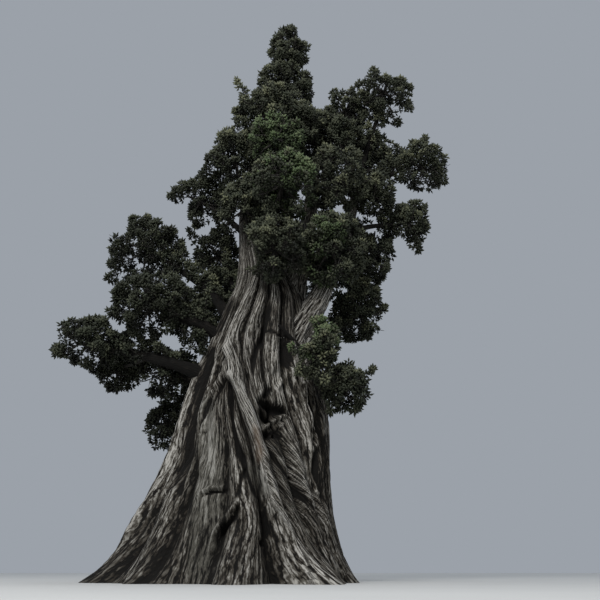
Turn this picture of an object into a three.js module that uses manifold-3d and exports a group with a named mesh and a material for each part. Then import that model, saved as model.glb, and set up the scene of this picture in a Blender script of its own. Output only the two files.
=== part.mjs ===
// An old cypress rooted in the ground: a stout, twisted trunk whose grain runs in ropes down to flared
// roots, boughs from its fork, and masses of foliage that branch from their stems by a seeded rule.
// Millimetres, +Z up. The origin is the centre of the flat cut at ground level; the tree is seen from -Y.
import * as THREE from "three";
import { mergeVertices } from "three/addons/utils/BufferGeometryUtils.js";
import Module from "manifold-3d";

const wasm = await Module();
wasm.setup();

// The gap that pieces which touch keep to each other, the one that is kept to the trunk's slanting bark,
// and the wider one of what only passes by.
const GAP = 0.35;
const BARK_GAP = 0.6;
const CLEARANCE = 12;

// The trunk: centre, half width and half depth at these heights above the ground.
const TRUNK_HEIGHTS = [0, 400, 900, 1500, 2100, 2700, 3200, 3700, 4100, 4600, 5300, 6200, 7000, 7750];
const TRUNK_CENTRE_X = [0, 0, 30, 130, 160, 200, 240, 280, 240, 110, 20, 100, 290, 520];
const TRUNK_CENTRE_Y = [0, 0, 0, 0, 0, 0, 0, 0, 20, 60, 80, 60, 20, 0];
const TRUNK_HALF_WIDTH = [1220, 1130, 1040, 950, 890, 780, 660, 540, 390, 255, 185, 130, 75, 40];
const TRUNK_HALF_DEPTH = [1080, 1000, 930, 860, 790, 700, 600, 490, 360, 245, 180, 130, 75, 40];
const TRUNK_RINGS = 21;
const RING_CROWDING = 1.35;

// Ropes of grain on the side that the photograph shows: each one's bearing in degrees at these heights,
// and how proud it stands beside a plain rope.
const GRAIN_HEIGHTS = [0, 800, 1600, 2400, 3200, 4200];
const FRONT_ROPES = {
  left_edge: { bearings: [178, 182, 187, 189, 200, 212], proud: 1 },
  left_inner: { bearings: [208, 213, 215, 217, 221, 226], proud: 0.9 },
  smooth_panel: { bearings: [242, 243, 239, 233, 228, 236], proud: 0.4 },
  toe: { bearings: [276, 279, 262, 246, 234, 246], proud: 0.8 },
  bent_rope: { bearings: [310, 293, 277, 256, 241, 257], proud: 1.7 },
  hollow_side: { bearings: [323, 306, 289, 270, 258, 268], proud: 0.8 },
  hollow_far_side: { bearings: [336, 320, 303, 286, 285, 288], proud: 1 },
  fork_rope: { bearings: [350, 332, 322, 308, 303, 306], proud: 1.2 },
  right_edge: { bearings: [366, 352, 341, 326, 320, 324], proud: 1 },
};
const BACK_ROPES = 7;
const BACK_SWAY = { degrees: 5, height: 700, step: 2.1 };
const FRONT_COLUMNS = 3;
const BACK_COLUMNS = 2;
const ROPE_SHARPNESS = 2.2;
const ROPE_RELIEF = 0.11;
const ROPES_FADE = [3600, 5600];
const LEADER_RELIEF = 0.3;

// Root flares: bearing and half spread in degrees, reach at the ground, and the height that they fade over.
const ROOTS = [
  { bearing: 182, spread: 32, reach: 690, rise: 480 },
  { bearing: 222, spread: 20, reach: 380, rise: 330 },
  { bearing: 268, spread: 22, reach: 330, rise: 300 },
  { bearing: 316, spread: 24, reach: 380, rise: 330 },
  { bearing: 2, spread: 26, reach: 170, rise: 300 },
  { bearing: 48, spread: 26, reach: 420, rise: 380 },
  { bearing: 95, spread: 24, reach: 520, rise: 400 },
  { bearing: 140, spread: 24, reach: 430, rise: 360 },
];

// The dark hollow between two ropes, and the arched one at the foot.
const HOLLOWS = [
  { bearing: 284, height: 1900, spread: 9, rise: 150, depth: 260 },
  { bearing: 283, height: 1640, spread: 7, rise: 90, depth: 120 },
  { bearing: 262, height: 420, spread: 8, rise: 190, depth: 150 },
];

// Boughs: where each leaves, a point that it bends through, where it ends, and its radius at both ends.
const BOUGHS = {
  left_long: { from: [-420, -60, 2620], via: [-1080, -270, 2810], to: [-1790, -190, 3000], r: [105, 46] },
  left_low: { from: [-380, 120, 2440], via: [-620, 140, 2590], to: [-850, 150, 2680], r: [80, 44] },
  left_mid: { from: [-240, -80, 3050], via: [-550, -230, 3310], to: [-930, -300, 3440], r: [100, 52] },
  left_fork: { from: [-180, 180, 3180], via: [-400, 430, 3420], to: [-690, 680, 3670], r: [80, 42] },
  left_high: { from: [-150, 60, 3350], via: [-570, 170, 3990], to: [-1230, 410, 4560], r: [90, 40] },
  left_inner: { from: [-20, 160, 3700], via: [-200, 520, 4100], to: [-430, 800, 4600], r: [80, 38] },
  left_hang: { from: [-380, 420, 2600], via: [-760, 700, 2680], to: [-1100, 830, 2450], r: [70, 30] },
  left_shoulder: { from: [90, 80, 4620], via: [-120, 190, 4990], to: [-440, 310, 5350], r: [70, 34] },
  second_leader: { from: [520, 30, 3550], via: [830, 60, 4750], to: [1010, 210, 6350], r: [190, 60] },
  right_bough: { from: [600, -330, 2980], via: [1180, -150, 4100], to: [1740, 350, 6050], r: [175, 60] },
  right_up: { from: [1700, 320, 5900], via: [1850, 350, 6600], to: [2050, 230, 7160], r: [54, 30] },
  right_out: { from: [1670, 300, 5780], via: [1960, 310, 5990], to: [2280, 280, 6110], r: [52, 30] },
  right_low_out: { from: [1470, 80, 4960], via: [1820, 50, 5030], to: [2150, 120, 5100], r: [48, 26] },
  right_bulge: { from: [640, 240, 3000], via: [1030, 490, 3260], to: [1400, 680, 3650], r: [90, 48] },
  front_low: { from: [330, -220, 3800], via: [380, -400, 3920], to: [400, -530, 4010], r: [70, 42] },
  front_high: { from: [100, -20, 4560], via: [280, -300, 4780], to: [420, -520, 4970], r: [70, 40] },
  front_left: { from: [60, 0, 4650], via: [10, -150, 4800], to: [-20, -230, 4880], r: [60, 36] },
  crown_fore: { from: [70, 20, 5600], via: [190, -160, 5820], to: [310, -320, 5980], r: [55, 34] },
  crown_right: { from: [120, 50, 6150], via: [400, -30, 6400], to: [640, -70, 6580], r: [48, 28] },
  back_low: { from: [330, 250, 3500], via: [430, 640, 3660], to: [480, 1020, 3900], r: [95, 50] },
  back_mid: { from: [150, 150, 4500], via: [220, 500, 4760], to: [290, 860, 5060], r: [70, 38] },
  back_right: { from: [770, 110, 4300], via: [990, 570, 4520], to: [1180, 1070, 4770], r: [70, 38] },
  back_top: { from: [30, 80, 5300], via: [180, 360, 5680], to: [320, 620, 6050], r: [60, 34] },
};
const BOUGH_SIDES = 5;
const BOUGH_STEPS = 4;
const COLLAR = { swell: 0.35, share: 1 / 3 };

// Masses of foliage: centre, half sizes, the bough that carries each (or the trunk, at a height), the share
// of the bough's length where its stem leaves, and whether it is dense.
const MASSES = {
  crown_tip: { at: [570, 0, 8290], half: [360, 360, 560], bough: "trunk", dense: true },
  crown_neck: { at: [530, 130, 7680], half: [540, 480, 430], bough: "trunk", height: 7400, dense: true },
  crown_upper: { at: [290, -140, 6860], half: [660, 600, 630], bough: "trunk", height: 6700, dense: true },
  crown_right: { at: [850, -100, 6780], half: [400, 460, 560], bough: "crown_right", dense: true },
  crown_left: { at: [-250, 40, 6150], half: [560, 640, 640], bough: "trunk", height: 5950, dense: true },
  crown_fore: { at: [410, -500, 6190], half: [520, 440, 490], bough: "crown_fore", dense: true },
  crown_front: { at: [500, -780, 5270], half: [600, 500, 560], bough: "front_high", dense: true },
  crown_centre: { at: [1290, -380, 5560], half: [560, 560, 600], bough: "right_bough", side: 0.76, dense: true },
  front_left: { at: [-60, -370, 5090], half: [420, 400, 500], bough: "front_left", dense: true },
  front_low: { at: [410, -800, 4250], half: [560, 470, 520], bough: "front_low", dense: true },
  front_right: { at: [1200, -560, 4380], half: [540, 520, 620], bough: "right_bough", side: 0.45, dense: true },
  left_shoulder: { at: [-840, 450, 5690], half: [590, 530, 520], bough: "left_shoulder" },
  left_inner: { at: [-590, 1000, 4980], half: [470, 480, 580], bough: "left_inner" },
  left_fork: { at: [-910, 850, 3880], half: [430, 440, 530], bough: "left_fork" },
  left_high: { at: [-1660, 520, 4840], half: [690, 570, 590], bough: "left_high", dense: true },
  left_mid: { at: [-1340, -330, 3610], half: [650, 570, 560], bough: "left_mid", dense: true },
  left_tip: { at: [-2180, -150, 3100], half: [570, 480, 500], bough: "left_long" },
  left_under: { at: [-1900, 350, 2860], half: [400, 400, 370], bough: "left_long", side: 0.66 },
  left_low: { at: [-1170, 150, 2780], half: [540, 470, 460], bough: "left_low" },
  left_hang: { at: [-1230, 860, 2150], half: [360, 380, 430], bough: "left_hang" },
  right_up: { at: [2150, 150, 7570], half: [570, 450, 610], bough: "right_up" },
  right_up_inner: { at: [1540, 450, 7430], half: [480, 450, 500], bough: "right_up", side: 0.5 },
  right_inner: { at: [1370, 250, 6680], half: [500, 480, 480], bough: "second_leader", dense: true },
  right_up_low: { at: [2060, 700, 6640], half: [460, 450, 470], bough: "right_bough" },
  right_shoulder: { at: [1910, -50, 5500], half: [390, 410, 450], bough: "right_bough", side: 0.86 },
  right_out: { at: [2700, 250, 6220], half: [510, 440, 500], bough: "right_out" },
  right_low_out: { at: [2430, 150, 5150], half: [350, 330, 480], bough: "right_low_out" },
  right_flank: { at: [1910, 560, 4900], half: [450, 510, 670], bough: "right_bough", side: 0.62, dense: true },
  right_bulge: { at: [1680, 800, 3940], half: [480, 530, 620], bough: "right_bulge", dense: true },
  sprout_high: { at: [990, -960, 2860], half: [320, 310, 390], bough: "trunk", height: 2760, dense: true },
  sprout_low: { at: [1340, -640, 2370], half: [360, 350, 370], bough: "trunk", height: 2420, dense: true },
  back_low: { at: [490, 1450, 4200], half: [730, 550, 610], bough: "back_low", dense: true },
  back_right: { at: [1350, 1500, 5100], half: [660, 540, 680], bough: "back_right", dense: true },
  back_mid: { at: [340, 1250, 5380], half: [650, 530, 570], bough: "back_mid", dense: true },
  back_left: { at: [-430, 1480, 4560], half: [560, 520, 600], bough: "left_inner", side: 0.6, dense: true },
  back_top: { at: [470, 950, 6440], half: [630, 510, 610], bough: "back_top", dense: true },
};
const MASS_GAP = 20;
const KINDS = {
  dense: { core: 0.66, twigs: 14, twigReach: 0.5 },
  open: { core: 0.46, twigs: 13, twigReach: 0.36 },
};
const TWIG_START = 0.5;
const TWIG_RADIUS = 24;
const TWIG_TAPER = 0.35;
const STEM_RADIUS = 36;
const STEM_SIDES = 4;
const STEM_OF_TIP = 0.9;
const STEM_OF_SIDE = 0.7;
const PLUME_LENGTH = 450;
const PLUME_SIDES = 3;
const PLUME_WIDTH = 0.78;
const PLUME_THICKNESS = 0.6;
const PLUME_WAIST = 0.6;
const PLUME_SUNK = 40;
const SHORTEST_PLUME = 130;
const SPACE_USED = 0.985;
const PLUME_TRIES = [1, 0.8, 0.6];
const LEAN = 0.7;
const UPTURN = 0.22;
const CORE_LUMPS = { depth: 0.14, turns: 5 };
const CORE_USED = 0.94;
const SLIVER = 6;
const SEEDS = { first: 11, step: 7 };
const GUARD_SIDES = 8;
const GUARD_STEPS = 9;
const GOLDEN_ANGLE = Math.PI * (3 - Math.sqrt(5));

const BARK_GREY = 0x6f6a62;
const FOLIAGE_GREEN = 0x25301f;

const UP = new THREE.Vector3(0, 0, 1);
const vector = (p) => new THREE.Vector3(...p);
const radians = THREE.MathUtils.degToRad;

// A generator of numbers from 0 to 1 that gives the same row for the same seed.
function seeded(seed) {
  let state = seed;
  return () => {
    state = (state * 1103515245 + 12345) % 2147483648;
    return state / 2147483648;
  };
}

// A smooth curve through values given at rising places.
function smooth(places, values, x) {
  const last = places.length - 1;
  const at = THREE.MathUtils.clamp(x, places[0], places[last]);
  const i = Math.min(places.findLastIndex((p) => p <= at), last - 1);
  const slope = (k) => {
    const [a, b] = [Math.max(k - 1, 0), Math.min(k + 1, last)];
    return (values[b] - values[a]) / (places[b] - places[a]);
  };
  const span = places[i + 1] - places[i];
  const t = (at - places[i]) / span;
  const [t2, t3] = [t * t, t * t * t];
  return (2 * t3 - 3 * t2 + 1) * values[i] + (t3 - 2 * t2 + t) * span * slope(i)
    + (3 * t2 - 2 * t3) * values[i + 1] + (t3 - t2) * span * slope(i + 1);
}

// The closed mesh as a solid that can be joined and cut.
function solid(geometry) {
  geometry.deleteAttribute("normal");
  geometry.deleteAttribute("uv");
  const merged = mergeVertices(geometry, 1e-3);
  return new wasm.Manifold(new wasm.Mesh({
    numProp: 3,
    vertProperties: new Float32Array(merged.getAttribute("position").array),
    triVerts: new Uint32Array(merged.index.array),
  }));
}

// A round bar whose every vertex is moved by place(angle, share along it, share of its radius).
function shapedBar(sides, steps, place) {
  const bar = new THREE.CylinderGeometry(1, 1, 1, sides, steps).rotateX(Math.PI / 2);
  const position = bar.getAttribute("position");
  for (let i = 0; i < position.count; i++) {
    const [x, y, z] = [position.getX(i), position.getY(i), position.getZ(i)];
    const turn = (Math.atan2(y, x) + 2 * Math.PI) % (2 * Math.PI);
    const moved = place(turn, z + 0.5, Math.hypot(x, y));
    position.setXYZ(i, moved.x, moved.y, moved.z);
  }
  return solid(bar);
}

// Bearings of the crest of every rope at a height, from the left edge round the front and then the back.
const FRONT = Object.values(FRONT_ROPES);
const ROPES = FRONT.length + BACK_ROPES;
const COLUMNS = Array.from({ length: ROPES }, (_, rope) => {
  const share = rope < FRONT.length ? FRONT_COLUMNS : BACK_COLUMNS;
  return Array.from({ length: share }, (_, i) => rope + i / share);
}).flat();
function crestBearings(height) {
  const front = FRONT.map(({ bearings }) => smooth(GRAIN_HEIGHTS, bearings, height));
  const [first, last] = [front[0] + 360, front[front.length - 1]];
  const back = Array.from({ length: BACK_ROPES }, (_, i) => {
    const share = (i + 1) / (BACK_ROPES + 1);
    const sway = BACK_SWAY.degrees * Math.sin(height / BACK_SWAY.height + BACK_SWAY.step * i);
    return last + share * (first - last) + sway;
  });
  return [...front, ...back];
}

// The bearing of the grain, where a whole rope is 1 and its crest lies at the half.
function grainBearing(crests, rope) {
  const place = rope - 0.5;
  const i = Math.floor(place);
  const crest = (k) => crests[(k + ROPES) % ROPES] + 360 * Math.floor(k / ROPES);
  return crest(i) + (place - i) * (crest(i + 1) - crest(i));
}

const turnBetween = (a, b) => ((((a - b) % 360) + 540) % 360) - 180;

// How far the bark stands out of the plain trunk: flared roots, ropes of grain and hollows.
function relief(rope, bearing, height) {
  const flare = ROOTS.reduce((sum, root) => {
    const off = Math.min(Math.abs(turnBetween(bearing, root.bearing)) / root.spread, 1);
    return sum + root.reach * Math.exp(-height / root.rise) * Math.cos(off * Math.PI / 2) ** 2;
  }, 0);
  const hollow = HOLLOWS.reduce((sum, h) => {
    const [across, along] = [turnBetween(bearing, h.bearing) / h.spread, (height - h.height) / h.rise];
    return sum + h.depth * Math.exp(-across * across - along * along);
  }, 0);
  const across = Math.abs(2 * (rope - Math.floor(rope)) - 1);
  const proud = FRONT[Math.floor(rope)]?.proud ?? 1;
  const round = proud * (1 - across ** ROPE_SHARPNESS) - 0.5;
  const girth = smooth(TRUNK_HEIGHTS, TRUNK_HALF_WIDTH, height);
  const faded = THREE.MathUtils.mapLinear(height, ...ROPES_FADE, 1, LEADER_RELIEF);
  const depth = 2 * ROPE_RELIEF * girth * THREE.MathUtils.clamp(faded, LEADER_RELIEF, 1);
  return flare - hollow + depth * round;
}

const TRUNK_TOP = TRUNK_HEIGHTS[TRUNK_HEIGHTS.length - 1];

function trunk(grow) {
  return shapedBar(COLUMNS.length, TRUNK_RINGS, (turn, along, out) => {
    const height = TRUNK_TOP * along ** RING_CROWDING;
    const rope = COLUMNS[Math.round(turn / (2 * Math.PI) * COLUMNS.length) % COLUMNS.length];
    const bearing = grainBearing(crestBearings(height), rope);
    const proud = relief(rope, bearing, height) + grow;
    const [c, s] = [Math.cos(radians(bearing)), Math.sin(radians(bearing))];
    const value = (values) => smooth(TRUNK_HEIGHTS, values, height);
    return new THREE.Vector3(
      value(TRUNK_CENTRE_X) + out * (value(TRUNK_HALF_WIDTH) + proud) * c,
      value(TRUNK_CENTRE_Y) + out * (value(TRUNK_HALF_DEPTH) + proud) * s,
      height + (along === 0 ? -grow : 0) + (along === 1 ? grow : 0),
    );
  });
}

// A plain round hull of the trunk above its roots, which foliage stays out of.
function trunkGuard() {
  return shapedBar(GUARD_SIDES, GUARD_STEPS, (turn, along, out) => {
    const height = TRUNK_TOP * along;
    const value = (values) => smooth(TRUNK_HEIGHTS, values, height);
    const girth = value(TRUNK_HALF_WIDTH);
    const [x, y] = [girth, value(TRUNK_HALF_DEPTH)].map((half) =>
      out * (half + ROPE_RELIEF * girth + CLEARANCE) / Math.cos(Math.PI / GUARD_SIDES));
    const [cx, cy] = [value(TRUNK_CENTRE_X), value(TRUNK_CENTRE_Y)];
    return new THREE.Vector3(cx + x * Math.cos(turn), cy + y * Math.sin(turn), height);
  });
}

// A tapering limb along a curve, with a collar where it leaves.
function limb(curve, radii, sides, steps, grow, collar = { swell: 0, share: 1 }) {
  const frames = curve.computeFrenetFrames(steps);
  return shapedBar(sides, steps, (turn, along, out) => {
    const i = Math.round(along * steps);
    const swell = 1 + collar.swell * Math.max(0, 1 - along / collar.share);
    const radius = out * (THREE.MathUtils.lerp(...radii, along) * swell + grow);
    const end = along === 0 ? -grow : along === 1 ? grow : 0;
    return curve.getPointAt(along)
      .addScaledVector(frames.normals[i], radius * Math.cos(turn))
      .addScaledVector(frames.binormals[i], radius * Math.sin(turn))
      .addScaledVector(frames.tangents[i], end);
  });
}

const boughCurve = ({ from, via, to }) => new THREE.CatmullRomCurve3([from, via, to].map(vector));
const boughSolid = (bough, grow) =>
  limb(boughCurve(bough), bough.r, BOUGH_SIDES, BOUGH_STEPS, grow, COLLAR);

// The largest piece of what a cut leaves: a loose scrap is dropped.
function largest(cut) {
  return cut.decompose().reduce((best, piece) => (piece.volume() > best.volume() ? piece : best));
}

const touches = (a, b) => {
  const [p, q] = [a.boundingBox(), b.boundingBox()];
  return [0, 1, 2].every((k) => p.min[k] <= q.max[k] && q.min[k] <= p.max[k]);
};
const cutBy = (piece, tools) =>
  tools.reduce((left, tool) => (touches(left, tool) ? left.subtract(tool) : left), piece);

// The flat sides that part a mass from its neighbours: a point p is inside where normal . p < reach.
function sides(name) {
  const size = ({ half }) => Math.cbrt(half[0] * half[1] * half[2]);
  const own = MASSES[name];
  const centre = vector(own.at);
  return Object.entries(MASSES).filter(([other]) => other !== name).map(([, other]) => {
    const normal = vector(other.at).sub(centre);
    const apart = normal.length();
    normal.divideScalar(apart);
    const share = (apart * apart + size(own) ** 2 - size(other) ** 2) / (2 * apart);
    return { normal, reach: centre.dot(normal) + share - MASS_GAP / 2 };
  });
}

// How far a mass's own space reaches from a point in it along a direction.
function reachFrom(mass, planes, point, direction) {
  const half = vector(mass.half);
  const p = point.clone().sub(vector(mass.at)).divide(half);
  const d = direction.clone().divide(half);
  const [a, b, c] = [d.dot(d), p.dot(d), p.dot(p) - 1];
  const round = (Math.sqrt(Math.max(b * b - a * c, 0)) - b) / a;
  return planes.reduce((least, { normal, reach }) => {
    const slope = normal.dot(direction);
    return slope > 1e-6 ? Math.min(least, (reach - normal.dot(point)) / slope) : least;
  }, round);
}

const isInside = (mass, planes, point) =>
  Math.hypot(...point.toArray().map((p, k) => (p - mass.at[k]) / mass.half[k])) <= 1
  && planes.every(({ normal, reach }) => normal.dot(point) < reach);

// A spindle-shaped spray of foliage, rooted at a point and standing along a direction.
function plume(root, direction, length, roll) {
  const outline = [[0, 0], [1, PLUME_WAIST], [0, 1]].map(([x, y]) => new THREE.Vector2(x, y));
  const turn = new THREE.Quaternion().setFromUnitVectors(UP, direction);
  return new THREE.LatheGeometry(outline, PLUME_SIDES).rotateX(Math.PI / 2)
    .scale(PLUME_WIDTH * length / 2, PLUME_THICKNESS * length / 2, length)
    .rotateZ(roll).applyQuaternion(turn).translate(root.x, root.y, root.z);
}

// A twig: a three-sided spike from one point to another.
function twig(from, to, radius) {
  const line = new THREE.Vector3().subVectors(to, from);
  const spike = new THREE.CylinderGeometry(radius * TWIG_TAPER, radius, line.length(), 3, 1);
  const turn = new THREE.Quaternion().setFromUnitVectors(UP, line.clone().normalize());
  const middle = from.clone().addScaledVector(line, 0.5);
  return spike.rotateX(Math.PI / 2).applyQuaternion(turn).translate(middle.x, middle.y, middle.z);
}

const verticesOf = (geometry) => {
  const position = geometry.getAttribute("position");
  const at = (i) => new THREE.Vector3().fromBufferAttribute(position, i);
  return Array.from({ length: position.count }, (_, i) => at(i));
};

// The lumpy core of a dense mass, pulled in where a neighbour's space begins.
function core(mass, planes, share, random) {
  const ball = new THREE.OctahedronGeometry(1, mass.dense ? 2 : 1);
  const phase = random() * 6;
  const centre = vector(mass.at);
  const position = ball.getAttribute("position");
  for (let i = 0; i < position.count; i++) {
    const d = new THREE.Vector3().fromBufferAttribute(position, i);
    const [x, y, z] = d.toArray().map((value, k) => Math.sin(CORE_LUMPS.turns * value + phase * (k + 1)));
    const lumps = 1 + CORE_LUMPS.depth * x * y * z;
    const p = d.clone().multiply(vector(mass.half)).multiplyScalar(share * lumps);
    const reach = reachFrom(mass, planes, centre, p.clone().normalize());
    p.setLength(Math.min(p.length(), CORE_USED * reach)).add(centre);
    position.setXYZ(i, p.x, p.y, p.z);
  }
  return solid(ball);
}

// The stem of a mass, from the tip or side of its bough, or from inside the trunk, to its middle.
function stem(mass, grow) {
  const centre = vector(mass.at);
  const height = mass.height ?? TRUNK_TOP + GAP;
  const value = (values) => smooth(TRUNK_HEIGHTS, values, height);
  const bough = mass.bough === "trunk" ? null : BOUGHS[mass.bough];
  const share = mass.side ?? 1;
  const start = bough ? boughCurve(bough).getPointAt(share)
    : new THREE.Vector3(value(TRUNK_CENTRE_X), value(TRUNK_CENTRE_Y), height);
  const radius = bough
    ? Math.min(bough.r[1] * STEM_OF_TIP, THREE.MathUtils.lerp(...bough.r, share) * STEM_OF_SIDE)
    : STEM_RADIUS;
  return limb(new THREE.LineCurve3(start, centre), [radius, TWIG_RADIUS], STEM_SIDES, 1, grow);
}

// A mass of foliage: a stem to its middle, twigs spaced by the golden angle, and a plume on each twig.
function foliage(name, seed, limbs, passing) {
  const mass = MASSES[name];
  const kind = mass.dense ? KINDS.dense : KINDS.open;
  const random = seeded(seed);
  const planes = sides(name);
  const centre = vector(mass.at);
  const pieces = [cutBy(core(mass, planes, kind.core, random), passing)];
  const keep = (geometry) => {
    if (!verticesOf(geometry).every((p) => isInside(mass, planes, p))) return false;
    const made = solid(geometry);
    if (passing.some((other) => touches(made, other) && !made.intersect(other).isEmpty())) return false;
    pieces.push(made);
    return true;
  };
  for (let k = 0; k < kind.twigs; k++) {
    const rise = 1 - 2 * (k + 0.5) / kind.twigs;
    const turn = k * GOLDEN_ANGLE + seed;
    const level = Math.sqrt(1 - rise * rise);
    const outward = new THREE.Vector3(level * Math.cos(turn), level * Math.sin(turn), rise);
    outward.multiply(vector(mass.half)).normalize();
    const reach = reachFrom(mass, planes, centre, outward) * kind.twigReach;
    const end = centre.clone().addScaledVector(outward, reach);
    if (!keep(twig(centre.clone().lerp(end, TWIG_START), end, TWIG_RADIUS))) continue;
    const aside = new THREE.Vector3(random() - 0.5, random() - 0.5, random() - 0.5).cross(outward);
    const direction = outward.clone().addScaledVector(aside, LEAN).addScaledVector(UP, UPTURN).normalize();
    const place = end.addScaledVector(direction, -PLUME_SUNK);
    const longest = Math.min(PLUME_LENGTH, SPACE_USED * reachFrom(mass, planes, place, direction));
    const roll = random() * Math.PI;
    const lengths = PLUME_TRIES.map((share) => longest * share).filter((length) => length > SHORTEST_PLUME);
    lengths.some((length) => keep(plume(place, direction, length, roll)));
  }
  const bush = wasm.Manifold.union(pieces).simplify(SLIVER).add(stem(mass, 0));
  return largest(cutBy(bush, limbs));
}

// The solid as a named mesh of its material.
function named(name, made, material) {
  const { numProp, numVert, vertProperties, triVerts } = made.getMesh();
  const position = new Float32Array(numVert * 3);
  for (let i = 0; i < numVert; i++) {
    position.set(vertProperties.subarray(i * numProp, i * numProp + 3), i * 3);
  }
  const geometry = new THREE.BufferGeometry()
    .setAttribute("position", new THREE.BufferAttribute(position, 3))
    .setIndex(new THREE.BufferAttribute(new Uint32Array(triVerts), 1));
  geometry.computeVertexNormals();
  const mesh = new THREE.Mesh(geometry, material);
  mesh.name = name;
  return mesh;
}

const bark = new THREE.MeshStandardMaterial({ color: BARK_GREY, roughness: 0.95, metalness: 0 });
const leaves = new THREE.MeshStandardMaterial({ color: FOLIAGE_GREEN, roughness: 0.85, metalness: 0 });

const cypress = new THREE.Group();
cypress.add(named("trunk", trunk(0), bark));

// Each bough is cut by the trunk and by the boughs before it, so that it meets them face to face.
const limbs = [trunk(BARK_GAP)];
const passing = [trunkGuard()];
for (const [name, bough] of Object.entries(BOUGHS)) {
  cypress.add(named(`bough_${name}`, largest(cutBy(boughSolid(bough, 0), limbs)), bark));
  limbs.push(boughSolid(bough, GAP));
  passing.push(boughSolid(bough, CLEARANCE));
}

// Each mass is cut clear of the limbs and of the other masses' stems.
Object.entries(MASSES).forEach(([name, mass], i) => {
  const others = Object.values(MASSES).filter((other) => other !== mass);
  const near = (grow) => others.map((other) => stem(other, grow));
  const seed = SEEDS.first + SEEDS.step * i;
  const made = foliage(name, seed, [...limbs, ...near(GAP)], [...passing, ...near(CLEARANCE)]);
  cypress.add(named(`foliage_${name}`, made, leaves));
});

export default cypress;
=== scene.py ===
"""An old cypress, dressed over its solids: bark in ropes and strips on the trunk and boughs, twigs,
and tufts of foliage that grow by the rule of the solids. Metres, +Z up; the tree is seen from -Y, and
the origin is the centre of the trunk's flat cut at ground level."""
import math

import bmesh
import bpy
import numpy as np
from bpy.props import FloatProperty, FloatVectorProperty, IntProperty, PointerProperty
from mathutils import Matrix, Vector


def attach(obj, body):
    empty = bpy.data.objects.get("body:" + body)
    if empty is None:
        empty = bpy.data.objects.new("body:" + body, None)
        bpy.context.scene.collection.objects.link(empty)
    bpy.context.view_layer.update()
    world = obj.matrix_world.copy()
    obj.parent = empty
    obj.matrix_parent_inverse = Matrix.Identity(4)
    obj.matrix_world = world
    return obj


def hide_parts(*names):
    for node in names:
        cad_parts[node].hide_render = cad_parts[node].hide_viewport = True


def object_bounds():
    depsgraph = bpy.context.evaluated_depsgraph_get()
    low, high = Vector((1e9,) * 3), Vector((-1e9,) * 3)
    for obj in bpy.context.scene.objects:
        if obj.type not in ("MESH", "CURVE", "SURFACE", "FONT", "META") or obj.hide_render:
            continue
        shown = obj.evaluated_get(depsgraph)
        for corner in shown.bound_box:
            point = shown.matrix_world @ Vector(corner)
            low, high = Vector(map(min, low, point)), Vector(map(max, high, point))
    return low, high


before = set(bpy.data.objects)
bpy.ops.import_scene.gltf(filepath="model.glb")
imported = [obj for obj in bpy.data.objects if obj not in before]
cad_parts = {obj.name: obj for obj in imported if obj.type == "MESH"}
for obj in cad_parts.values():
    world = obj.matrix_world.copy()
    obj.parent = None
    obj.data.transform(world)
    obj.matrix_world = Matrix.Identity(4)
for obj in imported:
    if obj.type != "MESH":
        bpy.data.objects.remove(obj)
cad_box = [list(corner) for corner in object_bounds()]

bl_info = {
    "name": "Old cypress",
    "version": (1, 0, 0),
    "blender": (4, 5, 0),
    "location": "View3D > Sidebar > Cypress",
    "description": "Dresses the solids of an old cypress with bark, twigs and tufts of foliage",
    "category": "Object",
}

MM = 0.001


# Sizes of the solids, which the bark and the foliage keep to

def metres(*values):
    return np.array(values, float) * MM


# The trunk: centre, half width and half depth at these heights above the ground.
TRUNK_HEIGHTS = metres(0, 400, 900, 1500, 2100, 2700, 3200, 3700, 4100, 4600, 5300, 6200, 7000, 7750)
TRUNK_CENTRE_X = metres(0, 0, 30, 130, 160, 200, 240, 280, 240, 110, 20, 100, 290, 520)
TRUNK_CENTRE_Y = metres(0, 0, 0, 0, 0, 0, 0, 0, 20, 60, 80, 60, 20, 0)
TRUNK_HALF_WIDTH = metres(1220, 1130, 1040, 950, 890, 780, 660, 540, 390, 255, 185, 130, 75, 40)
TRUNK_HALF_DEPTH = metres(1080, 1000, 930, 860, 790, 700, 600, 490, 360, 245, 180, 130, 75, 40)
TRUNK_PLAN = ((TRUNK_CENTRE_X, TRUNK_HALF_WIDTH), (TRUNK_CENTRE_Y, TRUNK_HALF_DEPTH))
TRUNK_TOP = TRUNK_HEIGHTS[-1]
# Rings of the bark's mesh crowd toward the ground by this power.
RING_CROWDING = 1.35

# Ropes of grain on the side that the photograph shows: bearings in degrees at these heights, and how proud
# each stands beside a plain rope.
GRAIN_HEIGHTS = metres(0, 800, 1600, 2400, 3200, 4200)
FRONT_ROPES = {
    "left_edge": ([178, 182, 187, 189, 200, 212], 1),
    "left_inner": ([208, 213, 215, 217, 221, 226], 0.9),
    "smooth_panel": ([242, 243, 239, 233, 228, 236], 0.4),
    "toe": ([276, 279, 262, 246, 234, 246], 0.8),
    "bent_rope": ([310, 293, 277, 256, 241, 257], 1.7),
    "hollow_side": ([323, 306, 289, 270, 258, 268], 0.8),
    "hollow_far_side": ([336, 320, 303, 286, 285, 288], 1),
    "fork_rope": ([350, 332, 322, 308, 303, 306], 1.2),
    "right_edge": ([366, 352, 341, 326, 320, 324], 1),
}
BACK_ROPES = 7
ROPES = len(FRONT_ROPES) + BACK_ROPES
# The ropes at the back sway aside by so many degrees, as a wave over this height, each a step further on.
BACK_SWAY_DEGREES, BACK_SWAY_HEIGHT, BACK_SWAY_STEP = 5, 0.7, 2.1
ROPE_PROUD = np.array([proud for _, proud in FRONT_ROPES.values()] + [1] * BACK_ROPES)
# How sharp the furrows between ropes are, how far ropes stand out beside the trunk's half width, the heights
# between which they fade, and the share of them that is left on the leader.
ROPE_SHARPNESS = 2.2
ROPE_RELIEF = 0.11
ROPES_FADE = metres(3600, 5600)
LEADER_RELIEF = 0.3
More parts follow.
